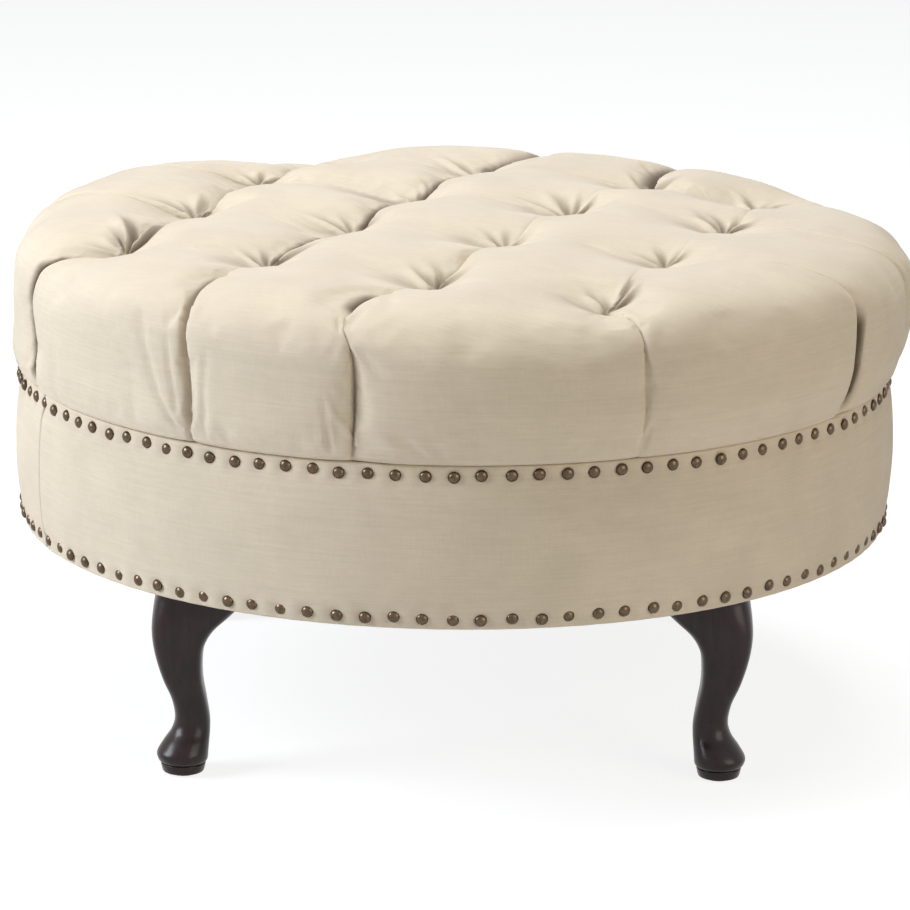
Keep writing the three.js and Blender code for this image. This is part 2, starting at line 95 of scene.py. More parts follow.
class CushionSettings(bpy.types.PropertyGroup):
    radius: length("Radius", "The cushion's radius at its widest", 0.426)
    seam_radius: length("Seam Radius", "Its radius at the seam over the skirt", 0.414)
    height: length("Height", "From the seam to the top of the crown", 0.145)
    waist: length("Waist", "Height of the widest part over the seam", 0.070)
    spacing: length("Tuft Spacing", "Between two tufts of the lattice", 0.160)
    turn: FloatProperty(
        name="Lattice Turn", description="Turn of the tuft lattice seen from above",
        default=math.radians(-23), subtype="ANGLE",
    )
    offset: length("Offset", "How far the cushion sits to the right of the skirt", 0.0085)
    steps: IntProperty(
        name="Steps", description="Mesh steps across one pillow", default=56, min=8, max=64,
    )


class SkirtSettings(bpy.types.PropertyGroup):
    radius: length("Radius", "The skirt's radius at its nail rows", 0.415)
    bulge: length("Bulge", "How far the skirt swells between its nail rows", 0.006)
    turn_in: length("Turn-in", "Width of the cloth turned in at top and bottom", 0.033)
    seam_turn: FloatProperty(
        name="Seam Turn", description="Angle of the upright seam from the front",
        default=math.radians(-65.77), subtype="ANGLE",
    )


class NailSettings(bpy.types.PropertyGroup):
    head_radius: length("Head Radius", "Radius of a nail's head", 0.0056)
    head_height: length("Head Height", "How far a head stands proud", 0.0038)
    top_count: IntProperty(name="Top Count", description="Nails in the top row", default=104)
    bottom_count: IntProperty(
        name="Bottom Count", description="Nails in the bottom row", default=100,
    )
    top_margin: length("Top Margin", "From the skirt's top to the top row", 0.0095)
    bottom_margin: length("Bottom Margin", "From the skirt's base to the bottom row", 0.010)


class LegSettings(bpy.types.PropertyGroup):
    block: length("Block", "Size of the leg's square block", 0.088)
    sides: IntProperty(name="Sides", description="Mesh sides round a leg", default=48, min=12)
    rings: IntProperty(name="Rings", description="Mesh rings up a leg", default=96, min=12)


class DustClothSettings(bpy.types.PropertyGroup):
    cell: length("Cell", "Mesh spacing across the dust cloth", 0.012)
    hole: length("Hole", "Radius of the hole for a bolt", 0.0044)
    free_radius: length("Free Radius", "Radius inside which the cloth hangs free", 0.25)
    sag: length("Sag", "How far the cloth's middle hangs down", 0.004)
    edge_sides: IntProperty(name="Edge Sides", description="Mesh sides of the edge", default=192)
    staples: IntProperty(name="Staples", description="Staples round the edge", default=64)
    staple_margin: length("Staple Margin", "From the cloth's edge to its staples", 0.012)
    staple_width: length("Staple Width", "Length of a staple's crown", 0.011)
    staple_gauge: length("Staple Gauge", "Width of a staple's wire", 0.0012)


class FinishSettings(bpy.types.PropertyGroup):
    cloth: colour("Cloth", "Colour of the cream cloth", (0.765, 0.66, 0.51))
    brass: colour("Brass", "Colour of the nails' brass", (0.115, 0.082, 0.053))
    espresso: colour("Espresso", "Colour of the legs' stain", (0.017, 0.0058, 0.0056))


class StudioSettings(bpy.types.PropertyGroup):
    camera_distance: length("Camera Distance", "From the aim to the camera", 4.15, 0.1, 20)
    camera_tilt: FloatProperty(
        name="Camera Tilt", description="Angle of the camera over the horizon",
        default=math.radians(14.77), subtype="ANGLE",
    )
    camera_roll: FloatProperty(
        name="Camera Roll", description="Turn of the picture about its middle",
        default=math.radians(0.58), subtype="ANGLE",
    )
    aim: length("Aim Height", "Height that the camera looks at", 0.2402)
    lens: FloatProperty(name="Lens", description="Focal length in millimetres", default=169.87)


# Mesh helpers

def mesh_object(name, points, faces, uv=None):
    mesh = bpy.data.meshes.new(name)
    mesh.from_pydata([tuple(p) for p in points], [], [tuple(int(i) for i in f) for f in faces])
    if uv is not None:
        layer = mesh.uv_layers.new(name="Cloth")
        corners = np.empty(len(mesh.loops), np.int32)
        mesh.loops.foreach_get("vertex_index", corners)
        layer.data.foreach_set("uv", np.asarray(uv)[corners].astype(np.float32).ravel())
    mesh.validate()
    mesh.shade_smooth()
    obj = bpy.data.objects.new(name, mesh)
    bpy.context.scene.collection.objects.link(obj)
    return obj


def fitted(obj, material, nodes=()):
    """Puts a finished piece on the frame."""
    obj.data.materials.clear()
    obj.data.materials.append(material)
    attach(obj, BODY)
    if nodes:
        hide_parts(*nodes)
    return obj


def set_painted_shade(obj, dark):
    """Stores the painted shade at a mesh's first points, as Fold. The rest isn't darkened."""
    fold = obj.data.attributes.new("Fold", "FLOAT", "POINT")
    rest = np.zeros(len(obj.data.vertices) - len(dark))
    fold.data.foreach_set("value", np.concatenate([dark, rest]).astype(np.float32))


def band(above, below):
    """Quads between two closed rows, each an array of its points' indices."""
    return list(zip(above, below, np.roll(below, -1), np.roll(above, -1)))


def smooth(x):
    x = np.clip(x, 0, 1)
    return x * x * (3 - 2 * x)


def turns(count):
    """Equal turns round a circle, in radians."""
    return [k * 2 * math.pi / count for k in range(count)]


def through(places, values, at):
    """A smooth curve through a table of values."""
    places, values = np.asarray(places, float), np.asarray(values, float)
    slopes = np.gradient(values, places)
    k = np.clip(np.searchsorted(places, at, side="right") - 1, 0, len(places) - 2)
    gap = places[k + 1] - places[k]
    t = np.clip((at - places[k]) / gap, 0, 1)
    return (
        (2 * t**3 - 3 * t**2 + 1) * values[k]
        + (t**3 - 2 * t**2 + t) * gap * slopes[k]
        + (3 * t**2 - 2 * t**3) * values[k + 1]
        + (t**3 - t**2) * gap * slopes[k + 1]
    )


def waves(points, size, seed, count=9):
    """Soft irregular waves of about one size, from minus one to one."""
    rng = np.random.default_rng(seed)
    total = np.zeros(len(points))
    for _ in range(count):
        way = rng.normal(size=3)
        way *= 2 * math.pi / size / np.linalg.norm(way) * rng.uniform(0.7, 1.4)
        total += np.sin(points @ way + rng.uniform(0, 2 * math.pi))
    return total / math.sqrt(count) / 1.6


# Materials

# The colour mix's sockets by index, because their names stand for its other types too
MIX_FACTOR, MIX_FIRST, MIX_SECOND, MIX_RESULT = 0, 6, 7, 2

# Heights over the seam between which the side's weave changes to the seat's
WEAVE_LOW, WEAVE_HIGH = 0.098, 0.128

# What the cloth's colour is multiplied by: between slubs, between threads, and for painted shade
# in a fold
SLUB_TINT = (0.955, 0.95, 0.94, 1)
THREAD_TINT = (0.93, 0.925, 0.91, 1)
PAINTED_FOLD_SHADE = (0.17, 0.135, 0.10, 1)


def feed(tree, socket, value):
    """Gives a socket its value, or links another socket to it."""
    if isinstance(value, bpy.types.NodeSocket):
        tree.links.new(value, socket)
    else:
        socket.default_value = value


def set_inputs(tree, node, **inputs):
    for key, value in inputs.items():
        feed(tree, node.inputs[key.replace("_", " ")], value)


def add_node(tree, kind, settings=None, **inputs):
    node = tree.nodes.new(kind)
    for key, value in (settings or {}).items():
        setattr(node, key, value)
    set_inputs(tree, node, **inputs)
    return node


def reckoned(tree, kind, operation, *values):
    """The result of a maths node for some values or sockets."""
    node = add_node(tree, kind, {"operation": operation})
    for socket, value in zip(node.inputs, values):
        feed(tree, socket, value)
    return node.outputs[0]


def new_material(name):
    """A material, its node tree and its only shader."""
    material = bpy.data.materials.new(name)
    material.use_nodes = True
    tree = material.node_tree
    tree.nodes.clear()
    shader = add_node(tree, "ShaderNodeBsdfPrincipled")
    add_node(tree, "ShaderNodeOutputMaterial", Surface=shader.outputs["BSDF"])
    return material, tree, shader


def grey(value):
    return (value, value, value, 1)


def rgba(value):
    return (*value, 1.0)


def tinted(value, factor):
    return tuple(min(1.0, v * factor) for v in value) + (1.0,)


def object_place(tree):
    return add_node(tree, "ShaderNodeTexCoord").outputs["Object"]


def noise(tree, vector, scale, detail, roughness, distortion=0.0):
    return add_node(
        tree, "ShaderNodeTexNoise", Vector=vector, Scale=scale, Detail=detail,
        Roughness=roughness, Distortion=distortion,
    ).outputs["Fac"]


def grain(tree, vector, scale, detail, distortion=0.0):
    """Noise with a scale of its own along each axis, drawn out like threads or wood grain."""
    drawn = add_node(tree, "ShaderNodeMapping", Vector=vector, Scale=scale)
    return noise(tree, drawn.outputs["Vector"], 1.0, detail, 0.6, distortion)


def ramp(tree, factor, low, high, low_grey=0, high_grey=1):
    """Goes from one grey to another while a factor goes from low to high."""
    node = add_node(tree, "ShaderNodeValToRGB", Fac=factor)
    stops = ((low, low_grey), (high, high_grey))
    for element, (place, shade) in zip(node.color_ramp.elements, stops):
        element.position = place
        element.color = grey(shade)
    return node.outputs["Color"]


def mixed(tree, factor, first, second, blend="MIX"):
    node = add_node(tree, "ShaderNodeMix", {"data_type": "RGBA", "blend_type": blend})
    for index, value in (
        (MIX_FACTOR, factor), (MIX_FIRST, first), (MIX_SECOND, second),
    ):
        feed(tree, node.inputs[index], value)
    return node.outputs[MIX_RESULT]


def bump(tree, height, strength, distance, below=None):
    node = add_node(
        tree, "ShaderNodeBump", Height=height, Strength=strength, Distance=distance,
    )
    if below is not None:
        set_inputs(tree, node, Normal=below)
    return node.outputs["Normal"]


def cloth_material(name, base):
    """Brushed woven cloth: warp and weft threads with slubs, and a nap that shades softly.

    On the seat the threads follow the flat cloth, and on the sides they run level round it.
    """
    material, tree, shader = new_material(name)
    cloth = add_node(tree, "ShaderNodeUVMap", {"uv_map": "Cloth"}).outputs["UV"]
    place = object_place(tree)
    height = add_node(tree, "ShaderNodeSeparateXYZ", Vector=place).outputs["Z"]
    seat = add_node(
        tree, "ShaderNodeMapRange", {"interpolation_type": "SMOOTHSTEP"}, Value=height,
        From_Min=SEAT_BASE + WEAVE_LOW, From_Max=SEAT_BASE + WEAVE_HIGH,
    ).outputs["Result"]
    side_threads = mixed(
        tree, 0.4, grain(tree, place, (60, 60, 1400), 2), grain(tree, place, (900, 900, 60), 2),
    )
    seat_threads = mixed(
        tree, 0.5, grain(tree, cloth, (60, 1500, 1), 2), grain(tree, cloth, (1500, 60, 1), 2),
    )
    threads = mixed(tree, seat, side_threads, seat_threads)
    slubs = mixed(
        tree, seat, grain(tree, place, (14, 14, 420), 3), grain(tree, cloth, (16, 420, 1), 3),
    )
    nap = ramp(tree, noise(tree, place, 14.0, 4, 0.6, 0.4), 0.3, 0.7)
    shade = mixed(tree, nap, tinted(base, 0.945), tinted(base, 1.04))
    for weave, tint in ((slubs, SLUB_TINT), (threads, THREAD_TINT)):
        darker = mixed(tree, 1.0, shade, tint, "MULTIPLY")
        shade = mixed(tree, ramp(tree, weave, 0.35, 0.65), darker, shade)
    # Painted shade: the Fold attribute darkens the cloth in its folds, pits and the skirt's seam,
    # where shade falls
    fold = add_node(tree, "ShaderNodeAttribute", {"attribute_name": "Fold"}).outputs["Fac"]
    shade = mixed(tree, fold, shade, mixed(tree, 1.0, shade, PAINTED_FOLD_SHADE, "MULTIPLY"))
    normal = bump(tree, threads, 0.35, 0.0006)
    set_inputs(
        tree, shader, Base_Color=shade, Normal=bump(tree, slubs, 0.25, 0.0007, normal),
        Roughness=0.92, Specular_IOR_Level=0.18, Sheen_Weight=0.35, Sheen_Roughness=0.45,
        Sheen_Tint=(1.0, 0.95, 0.86, 1),
    )
    return material


def brass_material(base):
    """Antique brass: worn bright in places and dark in its patina."""
    material, tree, shader = new_material("Antique brass")
    place = object_place(tree)
    patina = noise(tree, place, 260.0, 3, 0.65)
    shade = mixed(tree, ramp(tree, patina, 0.38, 0.62), tinted(base, 0.5), tinted(base, 1.35))
    set_inputs(
        tree, shader, Base_Color=mixed(tree, noise(tree, place, 60.0, 2, 0.5), shade, rgba(base)),
        Roughness=ramp(tree, patina, 0.3, 0.7, 0.38, 0.2), Metallic=1.0,
        Normal=bump(tree, patina, 0.25, 0.0003),
    )
    return material


def espresso_material(base):
    """Dark stained wood under a semi-gloss lacquer, its grain running up the leg."""
    material, tree, shader = new_material("Espresso wood")
    place = object_place(tree)
    rings = grain(tree, place, (170, 170, 9), 4, 0.6)
    pores = grain(tree, place, (900, 900, 40), 2)
    shade = mixed(tree, ramp(tree, rings, 0.35, 0.7), tinted(base, 0.65), tinted(base, 1.7))
    set_inputs(
        tree, shader, Base_Color=shade, Roughness=ramp(tree, rings, 0.3, 0.7, 0.34, 0.26),
        Normal=bump(tree, pores, 0.08, 0.0004), Specular_IOR_Level=0.26, Coat_Weight=0.12,
        Coat_Roughness=0.16,
    )
    return material


def board_material(name, base, scale, contrast=0.25):
    """Raw board: its grain runs along the axis that has the smallest scale."""
    material, tree, shader = new_material(name)
    rings = grain(tree, object_place(tree), scale, 5, 0.5)
    shade = mixed(
        tree, ramp(tree, rings, 0.32, 0.68),
        tinted(base, 1 - contrast), tinted(base, 1 + contrast * 0.6),
    )
    set_inputs(
        tree, shader, Base_Color=shade, Normal=bump(tree, rings, 0.2, 0.0006), Roughness=0.72,
    )
    return material


def fibre_material(name, base, scale, roughness=0.95, depth=0.0008):
    """Foam, wadding, twine or cambric: a matt surface of small pores or fibres."""
    material, tree, shader = new_material(name)
    place = object_place(tree)
    cells = add_node(tree, "ShaderNodeTexVoronoi", Vector=place, Scale=scale, Randomness=1.0)
    cloud = noise(tree, place, scale / 12, 3, 0.6)
    set_inputs(
        tree, shader, Base_Color=mixed(tree, cloud, tinted(base, 0.86), tinted(base, 1.08)),
        Normal=bump(tree, cells.outputs["Distance"], 0.3, depth), Roughness=roughness,
        Specular_IOR_Level=0.2,
    )
    return material


def zinc_material():
    """Zinc plate with its small bright crystals."""
    material, tree, shader = new_material("Zinc plate")
    place = object_place(tree)
    cells = add_node(tree, "ShaderNodeTexVoronoi", Vector=place, Scale=420.0)
    shade = mixed(tree, cells.outputs["Color"], (0.46, 0.47, 0.49, 1), (0.60, 0.61, 0.62, 1))
    scratches = noise(tree, place, 300.0, 2, 0.6)
    set_inputs(
        tree, shader, Base_Color=shade, Roughness=ramp(tree, scratches, 0.3, 0.7, 0.34, 0.48),
        Metallic=1.0,
    )
    return material


def nylon_material():
    """Moulded nylon with a fine matt grain."""
    material, tree, shader = new_material("Nylon glide")
    fine = noise(tree, object_place(tree), 1400.0, 2, 0.5)
    shade = mixed(tree, fine, (0.030, 0.026, 0.022, 1), (0.05, 0.045, 0.04, 1))
    set_inputs(
        tree, shader, Base_Color=shade, Normal=bump(tree, fine, 0.15, 0.0002), Roughness=0.5,
    )
    return material


# Cushion

CROWN_SQUARENESS = 4.3
UNDER_SQUARENESS = 2.5
PILLOWS = 3
RIM_TURN = math.radians(28)

# Depths in millimetres along a pleat, at stations from its border tuft (0) over the rim (1)
# to the seam (2)
STATIONS = [0, 0.35, 0.7, 1.0, 1.25, 1.6, 2.0]

# The twelve pleats, in the order of the walk round the lattice's border from its front left
# corner: which way the lap lies, how wide it is open in millimetres, the depth of a slit on
# the side and the station where it starts, then the depths at the stations
PLEATS = [
    (1, 6, 17, 0.72, 3, 7, 10, 8, 7, 7, 3), (1, 4.5, 4, 0.75, 0, 3, 13, 9, 4, 3.5, 3),
    (1, 8, 0, 1.0, 0, 2, 17, 0, 5, 8, 4), (1, 5, 2, 1.0, 7, 6, 3, 2, 3, 2.5, 1),
    (1, 6, 17, 1.16, 2, 1, 1, 2, 4, 4, 4), (1, 6, 4, 1.0, 3, 2, 3, 4, 6, 5, 3),
    (-1, 6, 4, 1.0, 6, 6, 5, 5, 6, 5, 3), (-1, 13, 4, 1.0, 9, 16, 15, 10, 7, 6, 3),
    (-1, 13, 5, 1.0, 10, 17, 16, 10, 7, 6, 3), (-1, 6, 4, 1.0, 6, 5, 4, 4, 6, 5, 3),
    (-1, 6, 4, 1.0, 4, 3, 2, 3, 6, 5, 3), (-1, 6, 5, 1.0, 5, 3, 2, 5, 7, 6, 3),
]

# How many millimetres a pleat sways at the stations, to the right as seen from outside
SWAYS = np.zeros((4 * PILLOWS, len(STATIONS)))
SWAYS[0] = [0, -5, -14, -22, -24, -12, 4]
SWAYS[1] = [0, -14, -20, -17, -10, -4, 0]
SWAYS[2] = [0, -8, -15, -13, -2, 0, -2]
SWAYS[3] = [0, 4, 6, 6, 6, 6, 5]
SWAYS[4] = [0, 0, 4, 8, 10, 8, 4]
SWAYS[7] = [0, -4, -12, -20, -20, -16, -12]
SWAYS[8] = [0, -22, -24, -16, -8, -2, 0]

# Small folds down the side: heights over the seam in millimetres and bearings in degrees from
# the right along each, then its depth and width in millimetres
SIDE_FOLDS = [
    ((114, 76, 41, 12), (-132.5, -130.5, -128.8, -125.6), 3.0, 4.0),
    ((106, 60, 26), (-127.6, -126.6, -125.7), 1.8, 3.2),
    ((90, 50, 10), (-134.5, -133.2, -132.6), 1.2, 5.0),
    ((96, 50, 8), (-121.0, -121.5, -121.3), 1.6, 4.0),
    ((64, 30, 8), (-105.6, -105.2, -104.9), 1.6, 3.0),
    ((70, 40, 12), (-150.4, -149.6, -149.9), 1.8, 4.0),
    ((50, 25, 6), (-65.9, -66.6, -67.0), 1.4, 3.0),
    ((100, 50, 14), (-29.9, -30.9, -31.8), 2.4, 4.0),
    ((92, 40, 12), (14.0, 12.6, 12.0), 2.0, 4.0),
    ((80, 40, 10), (46.0, 44.5, 44.0), 1.6, 4.0),
    ((96, 50, 10), (77.5, 79.0, 79.4), 2.4, 4.0),
    ((70, 30, 10), (104.0, 103.0, 102.6), 1.6, 3.4),
    ((96, 50, 10), (138.0, 139.4, 140.0), 2.0, 4.0),
    ((90, 40, 10), (171.0, 170.0, 169.4), 2.0, 4.0),
]

# Depths in millimetres at the start, middle and end of each piece of the lattice's lines:
# the lines across the seat, then the lines from front to back
ACROSS_DEPTHS = np.array([
    [[4, 3, 3], [4, 2, 3], [3, 2, 4]], [[3, 2, 3], [3, 2, 2], [2, 1.5, 2]],
    [[3, 9, 13], [4, 2, 2], [2, 1.5, 2]], [[3, 2, 3], [3, 2, 4], [3, 9, 10]],
])
ALONG_DEPTHS = np.array([
    [[10, 13, 5], [8, 16, 13], [6, 12, 4]], [[11, 18, 17], [11, 18, 17], [11, 18, 16]],
    [[15, 4, 1], [5, 1, 1], [4, 1, 4]], [[5, 1, 1], [3, 0, 1], [2, 2, 6]],
])

# Across a valley, in metres: on its gentle side and on the side where the next pillow laps over
# it steeply, the share of the depth that is in the fold, and how far the slope beside it
# reaches. Then a sharp fold's share and width, and the widths of a slit and of a shallow dip.
GENTLE_FOLD, GENTLE_SLOPE = 0.62, 0.055
STEEP_FOLD, STEEP_WIDTH, STEEP_SLOPE = 0.72, 0.0030, 0.045
SLIT_SHARE, SLIT_WIDTH = 0.45, 0.0022
CUT_WIDTH = 0.0036
BROAD_WIDTH = 0.030

# A pillow that laps over leans this far, most of all at this distance from the fold, and fully
# where a pleat or a line of the lattice is this deep
LAP_LEAN, LAP_PLACE, LAP_WIDTH = 0.0042, 0.0065, 0.0050
FULL_PLEAT, FULL_LINE = 0.011, 0.012

# Painted shade reaches this far from a fold's bottom where a pillow laps over, and is full where
# the fold is this much deeper than the least that is shaded
LAPPED_SHADE, FULL_SHADE = 0.0034, 0.0065

# A pleat's slit: over how many stations it opens, where and over how many it closes, the depth in
# metres at which it takes the place of a lap, and what its depth counts for in the soft and in
# the hard painted shade
CUT_OPENING, CUT_END, CUT_CLOSING = 0.25, 1.98, 0.2
CUT_FULL = 0.010
CUT_SOFT, CUT_HARD = 0.4, 1.2

# The station at which the folds pass from the crown's ways of lapping to the side's, and over
# how many they do
SIDE_START, SIDE_PASSAGE = 1.02, 0.12

# Painted shade in the pleats at stations: how far it reaches for how wide the pleat opens, and
# the depth in metres from which it starts
SHADE_STATIONS, SHADE_REACHES = [0, 0.9, 1.2], [1.5, 1.3, 0.9]
LEAST_STATIONS, LEAST_DEPTHS = [1.0, 1.15], [0.0078, 0.0035]

# How dark the painted shade in the lines across the seat is beside the others, the least and the
# added reach of the painted shade on a valley's gentle side, and how dark the painted shade at a
# tuft's bottom is
LINE_SHADE = 0.8
VALLEY_REACH = 0.0075
TUFT_PAINTED_SHADE = 0.8

# A length that is beyond the reach of the lattice's lines
PAST_RIM = 0.1

# How much closer the mesh's rows come to a pillow's edges, and to the lattice's border
PILLOW_CROWDING, BORDER_CROWDING = 0.72, 1.45

# The heights over the seam, in metres, between which tufts and gathers fade in
TOP_FROM, TOP_OVER = 0.075, 0.03

# A line from front to back starts to the right of its tuft and ends to the left of the next:
# how far it stands beside the straight line, in millimetres, at shares of the way
BEND_SHARES = [0, 0.16, 0.4, 0.72, 1]
BENDS = [0, 5, 4, 1, 0]
BEND_REACH = 0.040

# On the cushion's side: which way each pleat laps, how wide it opens, in millimetres, and how
# strongly its painted shade shows there
SIDE_WAYS = [1, -1, -1, 1, -1, 1, -1, -1, -1, -1, -1, -1]
SIDE_OPENINGS = [15, 4, 9, 5, 13, 6, 6, 6, 6, 6, 6, 6]
SIDE_SHADES = np.array([0.8] + [0.55] * 11)

# Near its tufts every line has the same depth
TIED_DEPTH, TIED_REACH = 0.008, 0.014

# A tuft's funnel reaches further to the left and to the front: its reach in millimetres every 45
# degrees round from the lattice's right. No tuft is deeper than the limit, where its tie holds
# it. Its bottom gets painted shade within the last length.
FUNNEL_DEPTH = 0.023
FUNNEL_REACH = [28, 30, 41, 50, 56, 66, 58, 44]
DEPTH_LIMIT = 0.029
TUFT_SHADE = 0.0055

# How far single tufts sit beside their place in the lattice: column, row and two lengths in
# metres
TUFT_SHIFTS = [
    (0, 0, -0.005, 0.006), (1, 0, -0.007, -0.003), (2, 0, 0.004, -0.012), (3, 0, 0.012, -0.014),
    (0, 2, -0.014, 0.012), (2, 3, 0.022, 0.008), (3, 3, -0.030, 0.012), (1, 1, 0.003, 0.004),
]
SHIFT_REACH = 0.065

# How many millimetres the crown's shoulder is fuller or flatter than the usual, every 15
# degrees round from the right
SHOULDER_LIFTS = [
    -4, -8, -10, -6, -5, -1, 0, -4, -3, 3, 11, 10, 6, 2, 0, 0, 0, 0, 0, 0, 0, 0, 0, -1,
]

# The long folds that spread from the front left tuft: bearing in degrees from the right, then
# height, width and reach in millimetres, and bend
LONG_FOLDS = [
    (112, 5.0, 3.6, 46, 0.0), (88, 8.5, 5.6, 80, 0.1), (52, 5.5, 4.4, 90, 0.15),
    (134, 3.0, 3.6, 38, -0.2), (160, 2.5, 4.0, 40, 0.0),
]

# The soft wedge of painted shade to the left of each tuft, where its slope turns away from the
# light: how dark it is, its bearing and half its angle, and how far it reaches
WEDGE_SHADE = 0.42
WEDGE_BEARING, WEDGE_ANGLE, WEDGE_REACH = math.radians(172), 0.42, 0.038

# The other tufts' folds: how many at the back (the second number isn't reached), their bearings
# in radians at the back and at the front, then their heights, widths and reaches in metres and
# their bends. None reaches past the limit.
GATHER_COUNTS = (4, 7)
GATHER_BACK, GATHER_FRONT = (1.1, math.pi - 0.75), (-2.4, -0.7)
GATHER_HEIGHTS, GATHER_WIDTHS = (0.0022, 0.0042), (0.0026, 0.0040)
GATHER_REACHES, GATHER_BENDS = (0.026, 0.050), (-0.3, 0.3)
GATHER_LIMIT = 0.13

# Unevenness: the heights over the seam, in metres, over which the tufts' shifts grow to the
# full, the radii between which the shoulder's lifts do and the heights between which they do,
# and the lengths in millimetres over which a fold on the side fades at its top and bottom
SHIFT_RISE = 0.05
LIFT_RADIUS, LIFT_WIDTH = 0.16, 0.20
LIFT_BASE, LIFT_RISE = 0.03, 0.08
FADE_TOP, FADE_BOTTOM = 22, 12

# The height over the seam from which the flat cloth turns down over the side
CROWN_LEVEL = 0.135

# The crown's lumps: size in metres, seed and height in metres
LUMPS = [(0.19, 5, 0.0016), (0.07, 6, 0.0006)]

# The cloth simulation: frames, pressure, how much the cloth grows, the furthest that a point
# may move, and the reach of a tuft's hold in metres
SWELL_FRAMES, SWELL_PRESSURE, SWELL_GROWTH, SWELL_LIMIT = 11, 2.2, 0.02, 0.0026
HOLD_REACH = 0.012


def outline(settings, turn):
    """Radius and height over the seam at a turn, from the crown past the waist to the seam."""
    across = np.clip(np.cos(turn), 0, None)
    up = np.clip(np.sin(turn), 0, None)
    down = np.clip(-np.sin(turn), 0, None)
    radius = np.where(
        turn >= 0,
        settings.radius * across ** (2 / CROWN_SQUARENESS),
        settings.seam_radius
        + (settings.radius - settings.seam_radius) * across ** (2 / UNDER_SQUARENESS),
    )
    height = np.where(
        turn >= 0,
        settings.waist + (settings.height - settings.waist) * up ** (2 / CROWN_SQUARENESS),
        settings.waist * (1 - down ** (2 / UNDER_SQUARENESS)),
    )
    return radius, height


def crown_height(settings, radius):
    """Height over the seam of the plain crown at a radius."""
    left = np.clip(1 - (radius / settings.radius) ** CROWN_SQUARENESS, 0, 1)
    return settings.waist + (settings.height - settings.waist) * left ** (1 / CROWN_SQUARENESS)


def crown_normal(settings, points):
    """Outward unit normals of the plain revolved cushion under each plan point."""
    step = 0.0005
    radius = np.maximum(np.hypot(points[:, 0], points[:, 1]), step)
    slope = (
        crown_height(settings, radius - step) - crown_height(settings, radius + step)
    ) / (2 * step)
    plan = points[:, :2] / np.maximum(radius, 1e-6)[:, None]
    normal = np.column_stack([plan * slope[:, None], np.ones(len(points))])
    return normal / np.linalg.norm(normal, axis=1)[:, None]


def pillow_shares(steps):
    """Steps across a pillow, closer together towards its valleys."""
    even = np.arange(steps + 1) / steps
    return even - PILLOW_CROWDING * np.sin(2 * math.pi * even) / (2 * math.pi)


def fall(off, lapped, opening=0.006):
    """Depth across a valley: gentle on one side, and steep where the next pillow laps over."""
    off, lapped = np.abs(off), np.asarray(lapped, float)
    gentle = GENTLE_FOLD * np.exp(-((off / opening) ** 1.3))
    gentle = gentle + (1 - GENTLE_FOLD) * np.clip(1 - off / GENTLE_SLOPE, 0, 1) ** 2
    steep = STEEP_FOLD * np.exp(-off / STEEP_WIDTH)
    steep = steep + (1 - STEEP_FOLD) * np.clip(1 - off / STEEP_SLOPE, 0, 1) ** 2
    return steep * lapped + gentle * (1 - lapped)


def darkness(depth, off, lapped, reach=0.0090, least=0.0078):
    """The painted shade down in a fold, from zero to one."""
    lapped = np.asarray(lapped, float)
    reach = LAPPED_SHADE * lapped + reach * (1 - lapped)
    return np.clip((depth - least) / FULL_SHADE, 0, 1) * np.exp(-((off / reach) ** 4))


def slit(off):
    """The sharp fold at the bottom of a valley."""
    return SLIT_SHARE * np.exp(-np.abs(off) / SLIT_WIDTH)


def lap(off):
    """How far a pillow leans over its valley, whose own bottom stays where it is."""
    off = np.abs(off)
    return LAP_LEAN * np.exp(-(((off - LAP_PLACE) / LAP_WIDTH) ** 2)) * (off > 0)


def joined(first, second):
    """Two valleys that meet: as deep as the deeper, with a rounded corner between them."""
    return (np.clip(first, 0, None) ** 3 + np.clip(second, 0, None) ** 3) ** (1 / 3)


def broad(off):
    """Depth across a line that is only a shallow dip between two pillows."""
    return np.exp(-((off / BROAD_WIDTH) ** 2))


def line_depths(table, line, piece, share, pitch):
    """Depth of a lattice line at a share of the way along one of its pieces."""
    first, middle, last = (table[line, piece, k] / 1000 for k in range(3))
    plain = (
        first * (1 - share) * (1 - 2 * share) + middle * 4 * share * (1 - share)
        + last * share * (2 * share - 1)
    )
    return tied(plain, np.minimum(share, 1 - share) * pitch)


def tied(plain, away):
    """A line's depth, drawn to the same value near the tufts at its ends."""
    near = np.exp(-((away / TIED_REACH) ** 2))
    return plain * (1 - near) + TIED_DEPTH * near


def pleat_angle(settings, side, tuft):
    """The bearing at which the pleat from a border tuft goes over the rim."""
    start = -math.pi * 3 / 4 + side * math.pi / 2
    if tuft == 0:
        return start
    if tuft == PILLOWS:
        return start + math.pi / 2
    offset = (tuft - PILLOWS / 2) * settings.spacing
    return start + math.pi / 4 + math.asin(offset / settings.radius)


def side_path(settings, rows):
    """Evenly spaced turns down the side, with how far along each one is."""
    fine = np.linspace(RIM_TURN, -math.pi / 2, 800)
    radius, height = outline(settings, fine)
    far = np.concatenate([[0], np.cumsum(np.hypot(np.diff(radius), np.diff(height)))])
    far /= far[-1]
    ways = np.arange(1, rows + 1) / rows
    return list(zip(ways, np.interp(ways, far, fine)))


